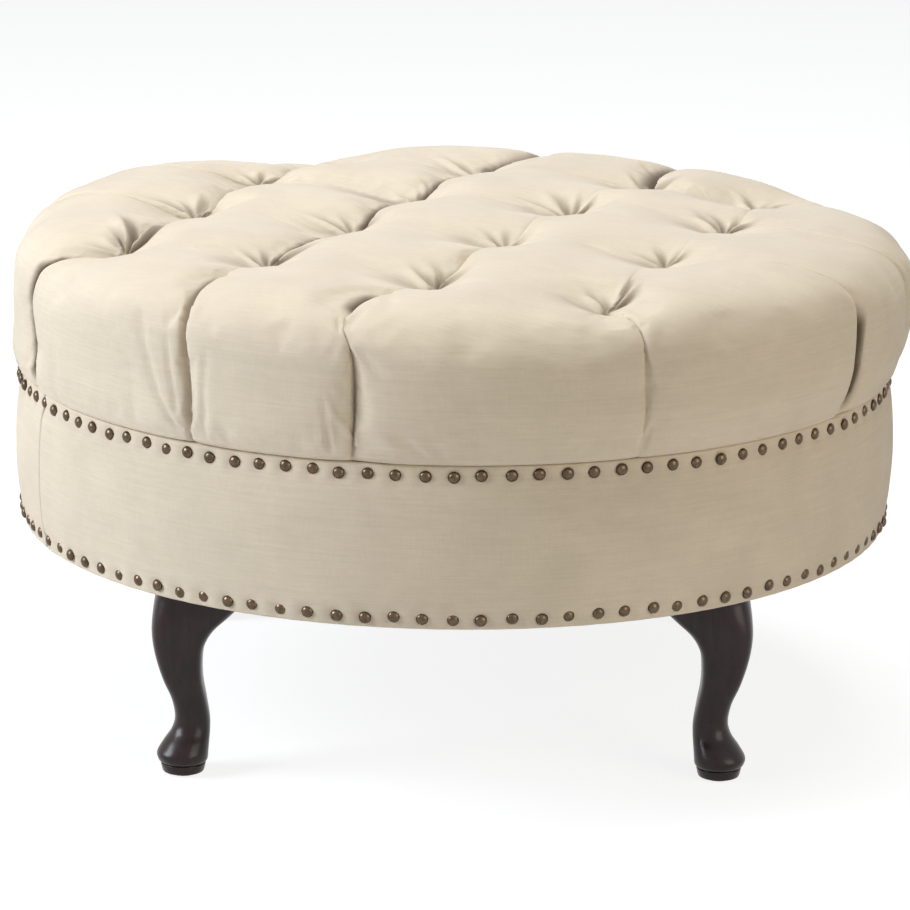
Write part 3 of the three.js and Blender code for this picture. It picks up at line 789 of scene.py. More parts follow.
class CushionForm:
    """The cushion's mesh in the lattice's own frame: points, normals and faces."""

    def __init__(self, settings, crown_rows=44, side_rows=42):
        self.settings = settings
        steps = settings.steps
        self.last = last = PILLOWS * steps
        index = np.arange(last + 1)
        self.pillow = np.minimum(index // steps, PILLOWS - 1)
        self.share = pillow_shares(steps)[index - self.pillow * steps]
        half = PILLOWS * settings.spacing / 2
        self.place = (self.pillow + self.share) * settings.spacing - half
        self.faces = [
            (row * (last + 1) + col, row * (last + 1) + col + 1,
             (row + 1) * (last + 1) + col + 1, (row + 1) * (last + 1) + col)
            for row in range(last) for col in range(last)
        ]
        parts = [self.lattice()]
        border = Border(self)
        above, total = border.index, (last + 1) ** 2
        for row in border.crown_rows(crown_rows) + border.side_rows(side_rows):
            parts.append(border.folded(*row))
            below = total + np.arange(len(above))
            self.faces += band(above, below)
            above, total = below, total + len(below)
        self.seam = above
        self.base, self.normals, self.valley, shift, dark = (
            np.concatenate(v) for v in zip(*parts)
        )
        self.draw_down(shift, dark)

    def tufts(self):
        half = PILLOWS * self.settings.spacing / 2
        line = np.arange(PILLOWS + 1) * self.settings.spacing - half
        x, y = np.meshgrid(line, line)
        return np.column_stack([x.ravel(), y.ravel()])

    def lattice(self):
        """The seat's part of the form: its base, normals, depths, shifts and painted shade."""
        settings, last = self.settings, self.last
        x, y = np.meshgrid(self.place, self.place)
        base = np.column_stack([x.ravel(), y.ravel()])
        base = np.column_stack([base, crown_height(settings, np.hypot(*base.T))])
        normals = crown_normal(settings, base)
        cols, rows = np.meshgrid(np.arange(last + 1), np.arange(last + 1))
        cols, rows = cols.ravel(), rows.ravel()
        across, along = self.share[cols], self.share[rows]
        column, row = self.pillow[cols], self.pillow[rows]
        pitch = settings.spacing
        left = line_depths(ALONG_DEPTHS, column, row, along, pitch)
        right = line_depths(ALONG_DEPTHS, column + 1, row, along, pitch)
        front = line_depths(ACROSS_DEPTHS, row, column, across, pitch)
        back = line_depths(ACROSS_DEPTHS, row + 1, column, across, pitch)
        folds = np.maximum(
            left * (fall(across * pitch, True) + slit(across * pitch)),
            right * (fall((1 - across) * pitch, False) + slit((1 - across) * pitch)),
        )
        dips = np.maximum(front * broad(along * pitch), back * broad((1 - along) * pitch))
        shift = np.zeros_like(base)
        shift[:, 0] -= lap(across * pitch) * left / FULL_LINE
        near_left = np.exp(-((across * pitch / BEND_REACH) ** 2))
        near_right = np.exp(-(((1 - across) * pitch / BEND_REACH) ** 2))
        shift[:, 0] += through(BEND_SHARES, BENDS, along) / 1000 * (near_left + near_right)
        # Painted shade down in the valleys and along the lines across the seat
        dark = np.maximum.reduce([
            darkness(left, across * pitch, True),
            darkness(
                right, (1 - across) * pitch, False, VALLEY_REACH + VALLEY_REACH * along**2,
            ),
            darkness(front, along * pitch, False) * LINE_SHADE,
            darkness(back, (1 - along) * pitch, True) * LINE_SHADE,
        ])
        return base, normals, joined(folds, dips), shift, dark

    def draw_down(self, shift, dark):
        """Sinks the valleys and the tufts' funnels into the base, and adds the gathers."""
        tufts = self.tufts()
        away = self.base[:, None, :2] - tufts[None]
        far = np.hypot(away[..., 0], away[..., 1])
        way = np.degrees(np.arctan2(away[..., 1], away[..., 0])) % 360 / 45
        near = far / (np.interp(way, range(9), FUNNEL_REACH + FUNNEL_REACH[:1]) / 1000)
        top = smooth((self.base[:, 2] - TOP_FROM) / TOP_OVER)
        whole = self.valley + FUNNEL_DEPTH * (np.exp(-3 * near**1.25).sum(1)) ** (1 / 3) * top
        whole = DEPTH_LIMIT * (1 - np.exp(-((whole / DEPTH_LIMIT) ** 1.6))) ** (1 / 1.6)
        gathers, painted_crease_shade = creases(self.settings, self.base, tufts)
        self.points = self.base - self.normals * whole[:, None] + shift
        self.points += self.normals * gathers[:, None] * top[:, None]
        # Painted shade at each tuft's bottom, joined with the painted shade of the valleys,
        # pleats and gathers
        bottom = np.exp(-((far.min(1) / TUFT_SHADE) ** 2))
        self.dark = np.maximum.reduce([dark, bottom * TUFT_PAINTED_SHADE * top, painted_crease_shade * top])

    def close(self, level, inset):
        """Turns the form in at its seam and closes it flat at a level."""
        edge = self.points[self.seam]
        count = len(edge)
        radius = np.linalg.norm(edge[:, :2], axis=1)
        plan = edge[:, :2] / radius[:, None]
        above, total = self.seam, len(self.points)
        points, normals = [self.points], [self.normals]
        for step, lift in ((inset * 0.3, 0.35), (inset, 0.0), (0.06, 0.0), (0.2, 0.0)):
            level_row = level + (edge[:, 2] - level) * lift
            points.append(np.column_stack([plan * (radius - step)[:, None], level_row]))
            normals.append(np.tile([0.0, 0.0, -1.0], (count, 1)))
            below = total + np.arange(count)
            self.faces += band(above, below)
            above, total = below, total + count
        points.append([[0.0, 0.0, level]])
        normals.append([[0.0, 0.0, -1.0]])
        self.faces += [(a, total, b) for a, b in zip(above, np.roll(above, -1))]
        self.points = np.vstack(points)
        self.normals = np.vstack(normals)


class Border:
    """The walk round the lattice's border, from which the rows over the rim start."""

    def __init__(self, form):
        self.settings = settings = form.settings
        last = form.last
        walk = []
        for side in range(4):
            for step in range(last):
                col, row = [(step, 0), (last, step), (last - step, last), (0, last - step)][side]
                walk.append((col, row, side, step))
        cols, rows, self.sides, steps = (np.array(v) for v in zip(*walk))
        self.index = rows * (last + 1) + cols
        self.own = form.share[steps]
        self.start = self.sides * PILLOWS + form.pillow[steps]
        self.stop = (self.start + 1) % (4 * PILLOWS)
        ends = np.array([
            [pleat_angle(settings, side, form.pillow[k] + more) for more in (0, 1)]
            for side, k in zip(self.sides, steps)
        ])
        self.angle = ends[:, 0] * (1 - self.own) + ends[:, 1] * self.own
        self.span = ends[:, 1] - ends[:, 0]
        self.inner = np.column_stack([form.place[cols], form.place[rows]])
        self.rim_radius, _ = outline(settings, np.array(RIM_TURN))
        self.rim = self.rim_radius * np.column_stack([np.cos(self.angle), np.sin(self.angle)])
        self.gap = np.linalg.norm(self.rim - self.inner, axis=1)
        outer = np.concatenate([
            ACROSS_DEPTHS[0], ALONG_DEPTHS[3],
            ACROSS_DEPTHS[3][::-1, ::-1], ALONG_DEPTHS[0][::-1, ::-1],
        ])[None]
        self.lines = line_depths(outer, 0, self.start, self.own, settings.spacing)
        self.bend = through(BEND_SHARES, BENDS, form.share[rows]) / 1000

    def sway(self, station):
        """How far each point goes along with the sway of the two pleats beside it."""
        sways = np.array([through(STATIONS, row, station) for row in SWAYS]) / 1000
        return sways[self.start] * (1 - self.own) + sways[self.stop] * self.own

    def crown_rows(self, count):
        """From the border to the rim: station, points, normals, way from the border, pitch."""
        settings, rows = self.settings, []
        for k in range(1, count + 1):
            out = (k / count) ** BORDER_CROWDING
            plan = self.inner * (1 - out) + self.rim * out
            square = np.column_stack([-plan[:, 1], plan[:, 0]])
            plan = plan + self.sway(out)[:, None] * square / np.linalg.norm(
                plan, axis=1, keepdims=True,
            )
            spot = np.column_stack([plan, crown_height(settings, np.hypot(*plan.T))])
            pitch = settings.spacing * (1 - out) + self.rim_radius * self.span * out
            rows.append((out, spot, crown_normal(settings, spot), out * self.gap, pitch))
        return rows

    def side_rows(self, count):
        """From the rim down to the seam, with the same values as the crown's rows."""
        settings, rows = self.settings, []
        for way, turn in side_path(settings, count):
            radius, height = (float(v) for v in outline(settings, np.array(turn)))
            before = outline(settings, np.array(turn + 0.01))
            after = outline(settings, np.array(max(turn - 0.01, -math.pi / 2)))
            face = np.array([before[1] - after[1], after[0] - before[0]], float)
            face /= np.linalg.norm(face)
            bearing = self.angle + self.sway(1 + way) / radius
            east, north = np.cos(bearing), np.sin(bearing)
            level = np.ones(len(bearing))
            spot = np.column_stack([radius * east, radius * north, height * level])
            normal = np.column_stack([face[0] * east, face[0] * north, face[1] * level])
            rows.append((1 + way, spot, normal, self.gap + PAST_RIM, radius * self.span))
        return rows

    def folded(self, station, spot, normal, away, pitch):
        """One row's part of the form: its base, normals, depths, shifts and painted shade."""
        pleats = np.array(PLEATS)
        depths = np.array([through(STATIONS, row, station) for row in pleats[:, 4:]]) / 1000
        cut = pleats[:, 2] / 1000 * smooth((station - pleats[:, 3]) / CUT_OPENING)
        cut = cut * smooth((CUT_END - station) / CUT_CLOSING)
        side = float(smooth((station - SIDE_START) / SIDE_PASSAGE))
        ways = pleats[:, 0] * (1 - side) + np.array(SIDE_WAYS) * side
        openings = (pleats[:, 1] * (1 - side) + np.array(SIDE_OPENINGS) * side) / 1000
        closed = 1 - 0.95 * np.clip(cut / CUT_FULL, 0, 1)
        soft = 1 - (1 - SIDE_SHADES) * side * closed
        reach = np.interp(station, SHADE_STATIONS, SHADE_REACHES)
        least = np.interp(station, LEAST_STATIONS, LEAST_DEPTHS)
        lean, folds, dark = 0, [], []
        for pleat, off, sign in (
            (self.start, self.own * pitch, 1), (self.stop, (1 - self.own) * pitch, -1),
        ):
            lapped = (1 + sign * ways[pleat]) / 2
            deep = tied(depths[pleat], away)
            fold = deep * (fall(off, lapped, openings[pleat]) + slit(off))
            folds.append(fold + cut[pleat] * np.exp(-((off / CUT_WIDTH) ** 2.5)))
            lean = lean + sign * lap(off) * deep / FULL_PLEAT * lapped * closed[pleat]
            # Painted shade in each pleat, and harder painted shade in its slit
            shade = darkness(
                deep + cut[pleat] * CUT_SOFT, off, lapped, openings[pleat] * reach, least,
            )
            dark += [soft[pleat] * shade, darkness(cut[pleat] * CUT_HARD, off, True)]
        right = self.sides == 1
        border_line = np.where(self.sides % 2 == 1, fall(away, right), broad(away))
        flat = np.zeros(len(away))
        around = np.column_stack([-np.sin(self.angle), np.cos(self.angle), flat])
        out_way = np.column_stack([np.cos(self.angle), np.sin(self.angle), flat])
        back = lap(away) * self.lines / FULL_LINE * right * (1 - min(station, 1))
        shift = -around * lean[:, None] - out_way * back[:, None]
        shift[:, 0] += self.bend * np.exp(-((away / BEND_REACH) ** 2))
        depth = joined(np.maximum(*folds), self.lines * border_line)
        return spot, normal, depth, shift, np.maximum.reduce(dark)


def creases(settings, base, tufts):
    """Gathers that spread from each tuft, most of them to the back, and painted shade in and
    beside them.
    """
    total, painted_crease_shade = np.zeros(len(base)), np.zeros(len(base))
    for index, tuft in enumerate(tufts):
        rng = np.random.default_rng(100 + index)
        rel = base[:, :2] - tuft
        far = np.hypot(*rel.T)
        close = far < GATHER_LIMIT
        rel, far = rel[close], far[close]
        bearing = np.arctan2(rel[:, 1], rel[:, 0]) + settings.turn
        if index == 0:
            folds = [
                (math.radians(spot), tall / 1000, width / 1000, reach / 1000, bend)
                for spot, tall, width, reach, bend in LONG_FOLDS
            ]
        else:
            count = rng.integers(*GATHER_COUNTS)
            spots = np.linspace(*GATHER_BACK, count) + rng.uniform(-0.12, 0.12, count)
            spots = np.append(spots, rng.uniform(*GATHER_FRONT, 1))
            folds = [
                (spot, rng.uniform(*GATHER_HEIGHTS) * (0.5 if spot < 0 or index == 12 else 1),
                 rng.uniform(*GATHER_WIDTHS), rng.uniform(*GATHER_REACHES),
                 rng.uniform(*GATHER_BENDS))
                for spot in spots
            ]
        turn = (bearing - WEDGE_BEARING + math.pi) % (2 * math.pi) - math.pi
        part = np.zeros(len(far))
        # Painted shade in a soft wedge to the left of the tuft
        dark = WEDGE_SHADE * np.exp(-((turn / WEDGE_ANGLE) ** 2)) * smooth(far / 0.010)
        dark = dark * np.exp(-((far / WEDGE_REACH) ** 2.5))
        for spot, tall, width, reach, bend in folds:
            turn = (bearing - spot - bend * far / 0.05 + math.pi) % (2 * math.pi) - math.pi
            side = turn * far
            width = width * (0.55 + 0.75 * np.clip(far / reach, 0, 1))
            ridge = np.exp(-((side / width) ** 2))
            groove = np.exp(-(((side + 1.5 * width) / (0.7 * width)) ** 2))
            grow = smooth(far / 0.012) * np.exp(-((far / reach) ** 3.5)) * (np.abs(turn) < 1.2)
            part += tall * (ridge - groove) * grow
            # Painted shade along the gather's groove
            shade = np.exp(-(((side + 1.4 * width) / (0.95 * width)) ** 2))
            dark = np.maximum(dark, shade * grow * np.clip(tall / 0.0052, 0, 1))
        total[close] += part
        painted_crease_shade[close] = np.maximum(painted_crease_shade[close], dark)
    return total, painted_crease_shade


def cloth_places(points):
    """Where each point was on the flat cloth, which was drawn down evenly all round."""
    radius = np.hypot(points[:, 0], points[:, 1])
    reach = radius + np.clip(CROWN_LEVEL - points[:, 2], 0, None)
    return points[:, :2] / np.maximum(radius, 1e-6)[:, None] * reach[:, None]


def turned(points, angle):
    """Points turned about the upright axis."""
    spin = np.array([[math.cos(angle), math.sin(angle)], [-math.sin(angle), math.cos(angle)]])
    return np.column_stack([points[:, :2] @ spin, points[:, 2]])


def uneven(settings, points, turn):
    """The work of a hand: tufts a little out of line, and a crown that is not quite even."""
    top = smooth(points[:, 2] / SHIFT_RISE)
    half = PILLOWS * settings.spacing / 2
    moved = points.copy()
    for column, row, across, along in TUFT_SHIFTS:
        spot = np.array([column, row]) * settings.spacing - half
        near = np.exp(-(np.linalg.norm(points[:, :2] - spot, axis=1) / SHIFT_REACH) ** 2)
        moved[:, 0] += across * near * top
        moved[:, 1] += along * near * top
    radius = np.hypot(points[:, 0], points[:, 1])
    bearing = np.degrees(np.arctan2(points[:, 1], points[:, 0]) + turn) % 360
    lifts = np.interp(bearing / 15, range(25), SHOULDER_LIFTS + SHOULDER_LIFTS[:1]) / 1000
    outer = smooth((radius - LIFT_RADIUS) / LIFT_WIDTH)
    moved[:, 2] += lifts * outer * smooth((points[:, 2] - LIFT_BASE) / LIFT_RISE)
    pressed = np.zeros(len(points))
    for heights, bearings, depth, width in SIDE_FOLDS:
        level = points[:, 2] * 1000
        middle = np.interp(level, heights[::-1], bearings[::-1])
        aside = (bearing - middle + 180) % 360 - 180
        aside = np.radians(aside) * radius * 1000
        ends = smooth((heights[0] - level) / FADE_TOP)
        ends = ends * smooth((level - heights[-1]) / FADE_BOTTOM + 0.4)
        pressed += depth * np.exp(-((aside / width) ** 2)) * ends / 1000
    moved[:, :2] *= (1 - pressed / np.maximum(radius, 0.1))[:, None]
    out = settings.offset * np.cos(np.radians(bearing))
    out = out * smooth((radius - 0.25) / 0.15) * smooth(points[:, 2] / 0.05)
    moved[:, :2] *= (1 + out / np.maximum(radius, 0.1))[:, None]
    return moved


def cushion_points(settings):
    form = CushionForm(settings)
    form.close(0.0, 0.004)
    points = uneven(settings, form.points, settings.turn)
    top = np.clip(points[:, 2] / 0.02, 0, 1)
    lumps = sum(waves(points, size, seed) * height for size, seed, height in LUMPS)
    return form, points + form.normals * (lumps * top)[:, None]


def hold_shares(form):
    """How firmly the cloth is held at each point: at the tufts, in the folds and at the seam."""
    tufts = form.tufts()
    flat = form.base[:, None, :2] - tufts[None]
    near = np.hypot(flat[..., 0], flat[..., 1]).min(1)
    top = smooth((form.base[:, 2] - TOP_FROM) / TOP_OVER)
    held = np.exp(-((near / HOLD_REACH) ** 2)) * top
    fold = np.clip(form.valley / 0.012, 0, 1) ** 2 * 0.7
    seam = smooth((0.012 - form.base[:, 2]) / 0.010)
    hold = np.clip(np.maximum(np.maximum(held, fold), seam) + 0.06, 0, 1)
    return np.concatenate([hold, np.ones(len(form.points) - len(hold))])


def settled(obj, hold):
    """Lets the cloth swell between its folds by simulation, and caps how far it moves."""
    before = np.empty(len(obj.data.vertices) * 3)
    obj.data.vertices.foreach_get("co", before)
    before = before.reshape(-1, 3)
    group = obj.vertex_groups.new(name="Held")
    levels = np.round(hold * 40) / 40
    for level in np.unique(levels):
        group.add([int(i) for i in np.flatnonzero(levels == level)], float(level), "REPLACE")
    cloth = obj.modifiers.new("Cloth", "CLOTH")
    own = cloth.settings
    own.quality = 3
    own.mass = 0.3
    own.tension_stiffness = own.compression_stiffness = 12
    own.shear_stiffness = 6
    own.bending_stiffness = 0.15
    own.tension_damping = own.compression_damping = own.shear_damping = 8
    own.air_damping = 2
    own.use_pressure = True
    own.uniform_pressure_force = SWELL_PRESSURE
    own.shrink_min = -SWELL_GROWTH
    own.vertex_group_mass = "Held"
    own.pin_stiffness = 1.0
    own.effector_weights.gravity = 0
    cloth.collision_settings.use_collision = False
    cloth.point_cache.frame_start, cloth.point_cache.frame_end = 1, SWELL_FRAMES
    scene = bpy.context.scene
    for step in range(1, SWELL_FRAMES + 1):
        scene.frame_set(step)
    whole = obj.evaluated_get(bpy.context.evaluated_depsgraph_get())
    after = np.empty(len(before) * 3)
    whole.data.vertices.foreach_get("co", after)
    after = after.reshape(-1, 3)
    obj.modifiers.remove(cloth)
    obj.vertex_groups.remove(group)
    scene.frame_set(1)
    move = after - before
    far = np.linalg.norm(move, axis=1)
    if not np.isfinite(far).all():
        raise RuntimeError("the cloth simulation broke up")
    capped = SWELL_LIMIT * np.tanh(far / SWELL_LIMIT)
    move *= (capped / np.maximum(far, 1e-9))[:, None]
    obj.data.vertices.foreach_set("co", (before + move).ravel())
    obj.data.update()


class TUFFET_OT_add_cushion(bpy.types.Operator):
    """Makes the tufted cushion, which also stands for the foam inside it"""

    bl_idname = "tuffet.add_cushion"
    bl_label = "Add Cushion"

    def execute(self, context):
        settings = context.scene.tuffet_cushion
        finish = context.scene.tuffet_finish
        form, points = cushion_points(settings)
        places = cloth_places(points)
        points = turned(points, settings.turn)
        points[:, 2] += SEAT_BASE
        cushion = mesh_object("cushion", points, form.faces, places)
        set_painted_shade(cushion, form.dark)
        material = cloth_material("Cream cloth", finish.cloth)
        settled(cushion, hold_shares(form))
        fitted(cushion, material, ["cushion_cover", "cushion_foam"])
        return {"FINISHED"}


# Skirt

SKIRT_COLUMNS = 1040
SKIRT_CLOTH = 0.0015

# Dimples at the nails and the puffs between them, then the seam's lap and the groove beside it
DIMPLE_DEPTH, DIMPLE_REACH = 0.0016, 0.0085
PUFF_HEIGHT = 0.0006
SEAM_LAP, SEAM_GROOVE = 0.0016, 0.0016


def skirt_profile(settings, nails):
    """The skirt's outline in section, from its inner lower edge round to its inner top edge."""
    low = SKIRT_BASE + nails.bottom_margin
    high = SKIRT_TOP - nails.top_margin
    edge = 0.003
    rows = [(settings.radius - settings.turn_in, SKIRT_BASE)]
    rows += [(settings.radius - edge - 0.01, SKIRT_BASE)]
    for k in range(5):
        bend = k / 4 * math.pi / 2
        rows.append((
            settings.radius - edge + edge * math.sin(bend),
            SKIRT_BASE + edge * (1 - math.cos(bend)),
        ))
    for k in range(49):
        along = k / 48
        out = settings.bulge * math.sin(math.pi * along) ** 0.7
        rows.append((settings.radius + out, low + (high - low) * along))
    for k in range(5):
        bend = k / 4 * math.pi / 2
        rows.append((
            settings.radius - edge * (1 - math.cos(bend)),
            SKIRT_TOP - edge * (1 - math.sin(bend)),
        ))
    rows += [(settings.radius - settings.turn_in, SKIRT_TOP)]
    return rows


class TUFFET_OT_add_skirt(bpy.types.Operator):
    """Makes the skirt's cloth, drawn in at the nails and closed by one upright seam"""

    bl_idname = "tuffet.add_skirt"
    bl_label = "Add Skirt"

    def execute(self, context):
        settings = context.scene.tuffet_skirt
        nails = context.scene.tuffet_nails
        profile = np.array(skirt_profile(settings, nails))
        rows = len(profile)
        angle = -math.pi / 2 + np.arange(SKIRT_COLUMNS) * 2 * math.pi / SKIRT_COLUMNS
        radius = np.repeat(profile[:, 0][:, None], SKIRT_COLUMNS, 1)
        level = np.repeat(profile[:, 1][:, None], SKIRT_COLUMNS, 1)
        outer = (radius > settings.radius - 0.004).astype(float)
        radius = radius + self.ripples(radius, level, angle)
        radius, pressed = self.nailed(settings, nails, radius, level, angle, outer)
        seam = (angle + math.pi / 2 - settings.seam_turn + math.pi) % (2 * math.pi) - math.pi
        aside = seam * settings.radius
        lapped = SEAM_LAP * smooth((aside + 0.0012) / 0.0026) * smooth((0.03 - aside) / 0.028)
        groove = SEAM_GROOVE * np.exp(-(aside / 0.0024) ** 2)
        radius = radius + (lapped - groove)[None, :] * (1 - pressed) * outer
        front = np.stack([radius * np.cos(angle), radius * np.sin(angle), level], -1)
        back = self.inner_face(settings, profile, angle)
        points = np.vstack([front.reshape(-1, 3), back.reshape(-1, 3)])
        order = [*range(rows + len(back)), 0]
        faces = [
            (a * SKIRT_COLUMNS + c, a * SKIRT_COLUMNS + (c + 1) % SKIRT_COLUMNS,
             b * SKIRT_COLUMNS + (c + 1) % SKIRT_COLUMNS, b * SKIRT_COLUMNS + c)
            for a, b in zip(order, order[1:]) for c in range(SKIRT_COLUMNS)
        ]
        column = np.arange(len(points)) % SKIRT_COLUMNS
        around = column * 2 * math.pi / SKIRT_COLUMNS * settings.radius
        skirt = mesh_object("skirt", points, faces, np.column_stack([around, points[:, 2]]))
        # Painted shade along the seam's groove
        dark = np.exp(-((aside / 0.0026) ** 2))[None, :] * outer * 0.9
        set_painted_shade(skirt, dark.ravel())
        fitted(skirt, bpy.data.materials["Cream cloth"], ["skirt_cover"])
        return {"FINISHED"}

    def ripples(self, radius, level, angle):
        """The cloth's slight unevenness, which fades out at both edges."""
        middle = smooth((level - SKIRT_BASE) / 0.012) * smooth((SKIRT_TOP - level) / 0.012)
        flat = np.stack([radius * np.cos(angle), radius * np.sin(angle), level], -1)
        flat = flat.reshape(-1, 3)
        ripple = waves(flat, 0.13, 21) * 0.0008 + waves(flat, 0.05, 22) * 0.0003
        return ripple.reshape(radius.shape) * middle

    def nailed(self, settings, nails, radius, level, angle, outer):
        """The radius drawn in at the nails, and how firmly each point is pressed there."""
        pressed = np.zeros_like(radius)
        for count, height in (
            (nails.top_count, SKIRT_TOP - nails.top_margin),
            (nails.bottom_count, SKIRT_BASE + nails.bottom_margin),
        ):
            pitch = 2 * math.pi / count
            off = ((angle + math.pi / 2 + pitch / 2) % pitch - pitch / 2) * settings.radius
            near = np.exp(-(off[None, :] ** 2 + (level - height) ** 2) / DIMPLE_REACH**2)
            pressed = np.maximum(pressed, near)
            radius = radius - DIMPLE_DEPTH * near * outer
            between = np.exp(-((level - height) / 0.006) ** 2) * (1 - np.exp(-(off / 0.009) ** 2))
            radius = radius + PUFF_HEIGHT * between * outer
        return radius, pressed

    def inner_face(self, settings, profile, angle):
        """Rows of points for the cloth's inner face, from its top edge down."""
        inside = profile[::-1].copy()
        inside[:, 0] = np.clip(
            inside[:, 0] - SKIRT_CLOTH, settings.radius - settings.turn_in, None,
        )
        inside[:, 1] = np.clip(
            inside[:, 1], SKIRT_BASE + SKIRT_CLOTH, SKIRT_TOP - SKIRT_CLOTH,
        )
        inside = inside[1:-1:6]
        return np.stack([
            inside[:, 0, None] * np.cos(angle), inside[:, 0, None] * np.sin(angle),
            np.repeat(inside[:, 1, None], len(angle), 1),
        ], -1)


# Nails

# How far a nail's dome goes on below its rim, as a share of its height, how deep it is sunk
# into the cloth and how far it may sit out of line, in metres
NAIL_UNDERSIDE = -0.15
NAIL_SINK, NAIL_UNEVENNESS = 0.0006, 0.0013

ROW_INPUTS = (
    ("Row Radius", "NodeSocketFloat"), ("Row Height", "NodeSocketFloat"),
    ("Count", "NodeSocketInt"), ("Unevenness", "NodeSocketFloat"), ("Seed", "NodeSocketInt"),
)


def open_tree(name, *inputs):
    """A geometry node tree with a row's inputs and some more, and its input sockets."""
    tree = bpy.data.node_groups.new(name, "GeometryNodeTree")
    for key, kind in (*ROW_INPUTS, *inputs):
        tree.interface.new_socket(key, in_out="INPUT", socket_type=kind)
    tree.interface.new_socket("Geometry", in_out="OUTPUT", socket_type="NodeSocketGeometry")
    return tree, tree.nodes.new("NodeGroupInput").outputs


def row_points(tree, given, turn):
    """Even points round a level ring, the first of them at a turn."""
    ring = add_node(
        tree, "GeometryNodeMeshCircle", {"fill_type": "NONE"},
        Vertices=given["Count"], Radius=given["Row Radius"],
    )
    lift = add_node(tree, "ShaderNodeCombineXYZ", Z=given["Row Height"])
    return add_node(
        tree, "GeometryNodeTransform", Geometry=ring.outputs["Mesh"],
        Translation=lift.outputs["Vector"], Rotation=(0, 0, turn),
    ).outputs["Geometry"]


def facing_out(tree, axis):
    """The rotation that points an axis level away from the ring's middle."""
    place = add_node(tree, "GeometryNodeInputPosition").outputs["Position"]
    level = reckoned(tree, "ShaderNodeVectorMath", "MULTIPLY", place, (1, 1, 0))
    return add_node(
        tree, "FunctionNodeAlignRotationToVector", {"axis": axis}, Vector=level,
    ).outputs["Rotation"]


def close_tree(tree, points, piece, rotation, material):
    """Sets a piece on each point, all of one material, and hands them out."""
    row = add_node(
        tree, "GeometryNodeInstanceOnPoints", Points=points, Instance=piece, Rotation=rotation,
    )
    real = add_node(
        tree, "GeometryNodeRealizeInstances", Geometry=row.outputs["Instances"],
    )
    coated = add_node(
        tree, "GeometryNodeSetMaterial", Geometry=real.outputs["Geometry"], Material=material,
    )
    add_node(tree, "NodeGroupOutput", Geometry=coated.outputs["Geometry"])


def nail_tree(material):
    """A ring of domed nail heads that point outwards."""
    tree, given = open_tree(
        "Nail row", ("Head Radius", "NodeSocketFloat"), ("Head Height", "NodeSocketFloat"),
    )
    jitter = add_node(
        tree, "FunctionNodeRandomValue", {"data_type": "FLOAT_VECTOR"}, Seed=given["Seed"],
    )
    jitter.inputs[0].default_value = (-1, -1, -1)
    jitter.inputs[1].default_value = (1, 1, 1)
    spread = add_node(
        tree, "ShaderNodeVectorMath", {"operation": "SCALE"}, Scale=given["Unevenness"],
    )
    feed(tree, spread.inputs[0], jitter.outputs[0])
    apart = add_node(
        tree, "GeometryNodeSetPosition", Geometry=row_points(tree, given, -math.pi / 2),
        Offset=spread.outputs["Vector"],
    )
    ball = add_node(tree, "GeometryNodeMeshUVSphere", Segments=14, Rings=8, Radius=1.0)
    own = add_node(tree, "GeometryNodeInputPosition").outputs["Position"]
    parts = add_node(tree, "ShaderNodeSeparateXYZ", Vector=own).outputs
    under = reckoned(tree, "ShaderNodeMath", "MAXIMUM", parts["Z"], NAIL_UNDERSIDE)
    flat = add_node(tree, "ShaderNodeCombineXYZ", X=parts["X"], Y=parts["Y"], Z=under)
    cap = add_node(
        tree, "GeometryNodeSetPosition", Geometry=ball.outputs["Mesh"],
        Position=flat.outputs["Vector"],
    )
    size = add_node(
        tree, "ShaderNodeCombineXYZ", X=given["Head Radius"], Y=given["Head Radius"],
        Z=given["Head Height"],
    )
    head = add_node(
        tree, "GeometryNodeTransform", Geometry=cap.outputs["Geometry"],
        Scale=size.outputs["Vector"],
    )
    smoothed = add_node(
        tree, "GeometryNodeSetShadeSmooth", Geometry=head.outputs["Geometry"],
    )
    close_tree(
        tree, apart.outputs["Geometry"], smoothed.outputs["Geometry"], facing_out(tree, "Z"),
        material,
    )
    return tree


def grown(name, tree, values):
    """The tree's result, with its named inputs set, as a plain mesh object."""
    obj = mesh_object(name, [], [])
    modifier = obj.modifiers.new(name, "NODES")
    modifier.node_group = tree
    named = {
        item.name: item.identifier for item in tree.interface.items_tree
        if item.item_type == "SOCKET" and item.in_out == "INPUT"
    }
    for key, value in values.items():
        modifier[named[key]] = value
    bpy.context.view_layer.update()
    whole = obj.evaluated_get(bpy.context.evaluated_depsgraph_get())
    mesh = bpy.data.meshes.new_from_object(whole)
    obj.modifiers.remove(modifier)
    old = obj.data
    obj.data = mesh
    bpy.data.meshes.remove(old)
    mesh.name = name
    return obj


class TUFFET_OT_add_nails(bpy.types.Operator):
    """Sets the two rows of domed brass nails round the skirt"""

    bl_idname = "tuffet.add_nails"
    bl_label = "Add Nails"

    def execute(self, context):
        skirt = context.scene.tuffet_skirt
        nails = context.scene.tuffet_nails
        material = brass_material(context.scene.tuffet_finish.brass)
        tree = nail_tree(material)
        for name, count, height, seed in (
            ("nails_top", nails.top_count, SKIRT_TOP - nails.top_margin, 3),
            ("nails_bottom", nails.bottom_count, SKIRT_BASE + nails.bottom_margin, 4),
        ):
            row = grown(name, tree, {
                "Row Radius": skirt.radius - NAIL_SINK, "Row Height": height, "Count": count,
                "Head Radius": nails.head_radius, "Head Height": nails.head_height,
                "Unevenness": NAIL_UNEVENNESS, "Seed": seed,
            })
            if not row.data.polygons:
                raise RuntimeError(f"{name} has no faces")
            fitted(row, material)
        return {"FINISHED"}


# Legs

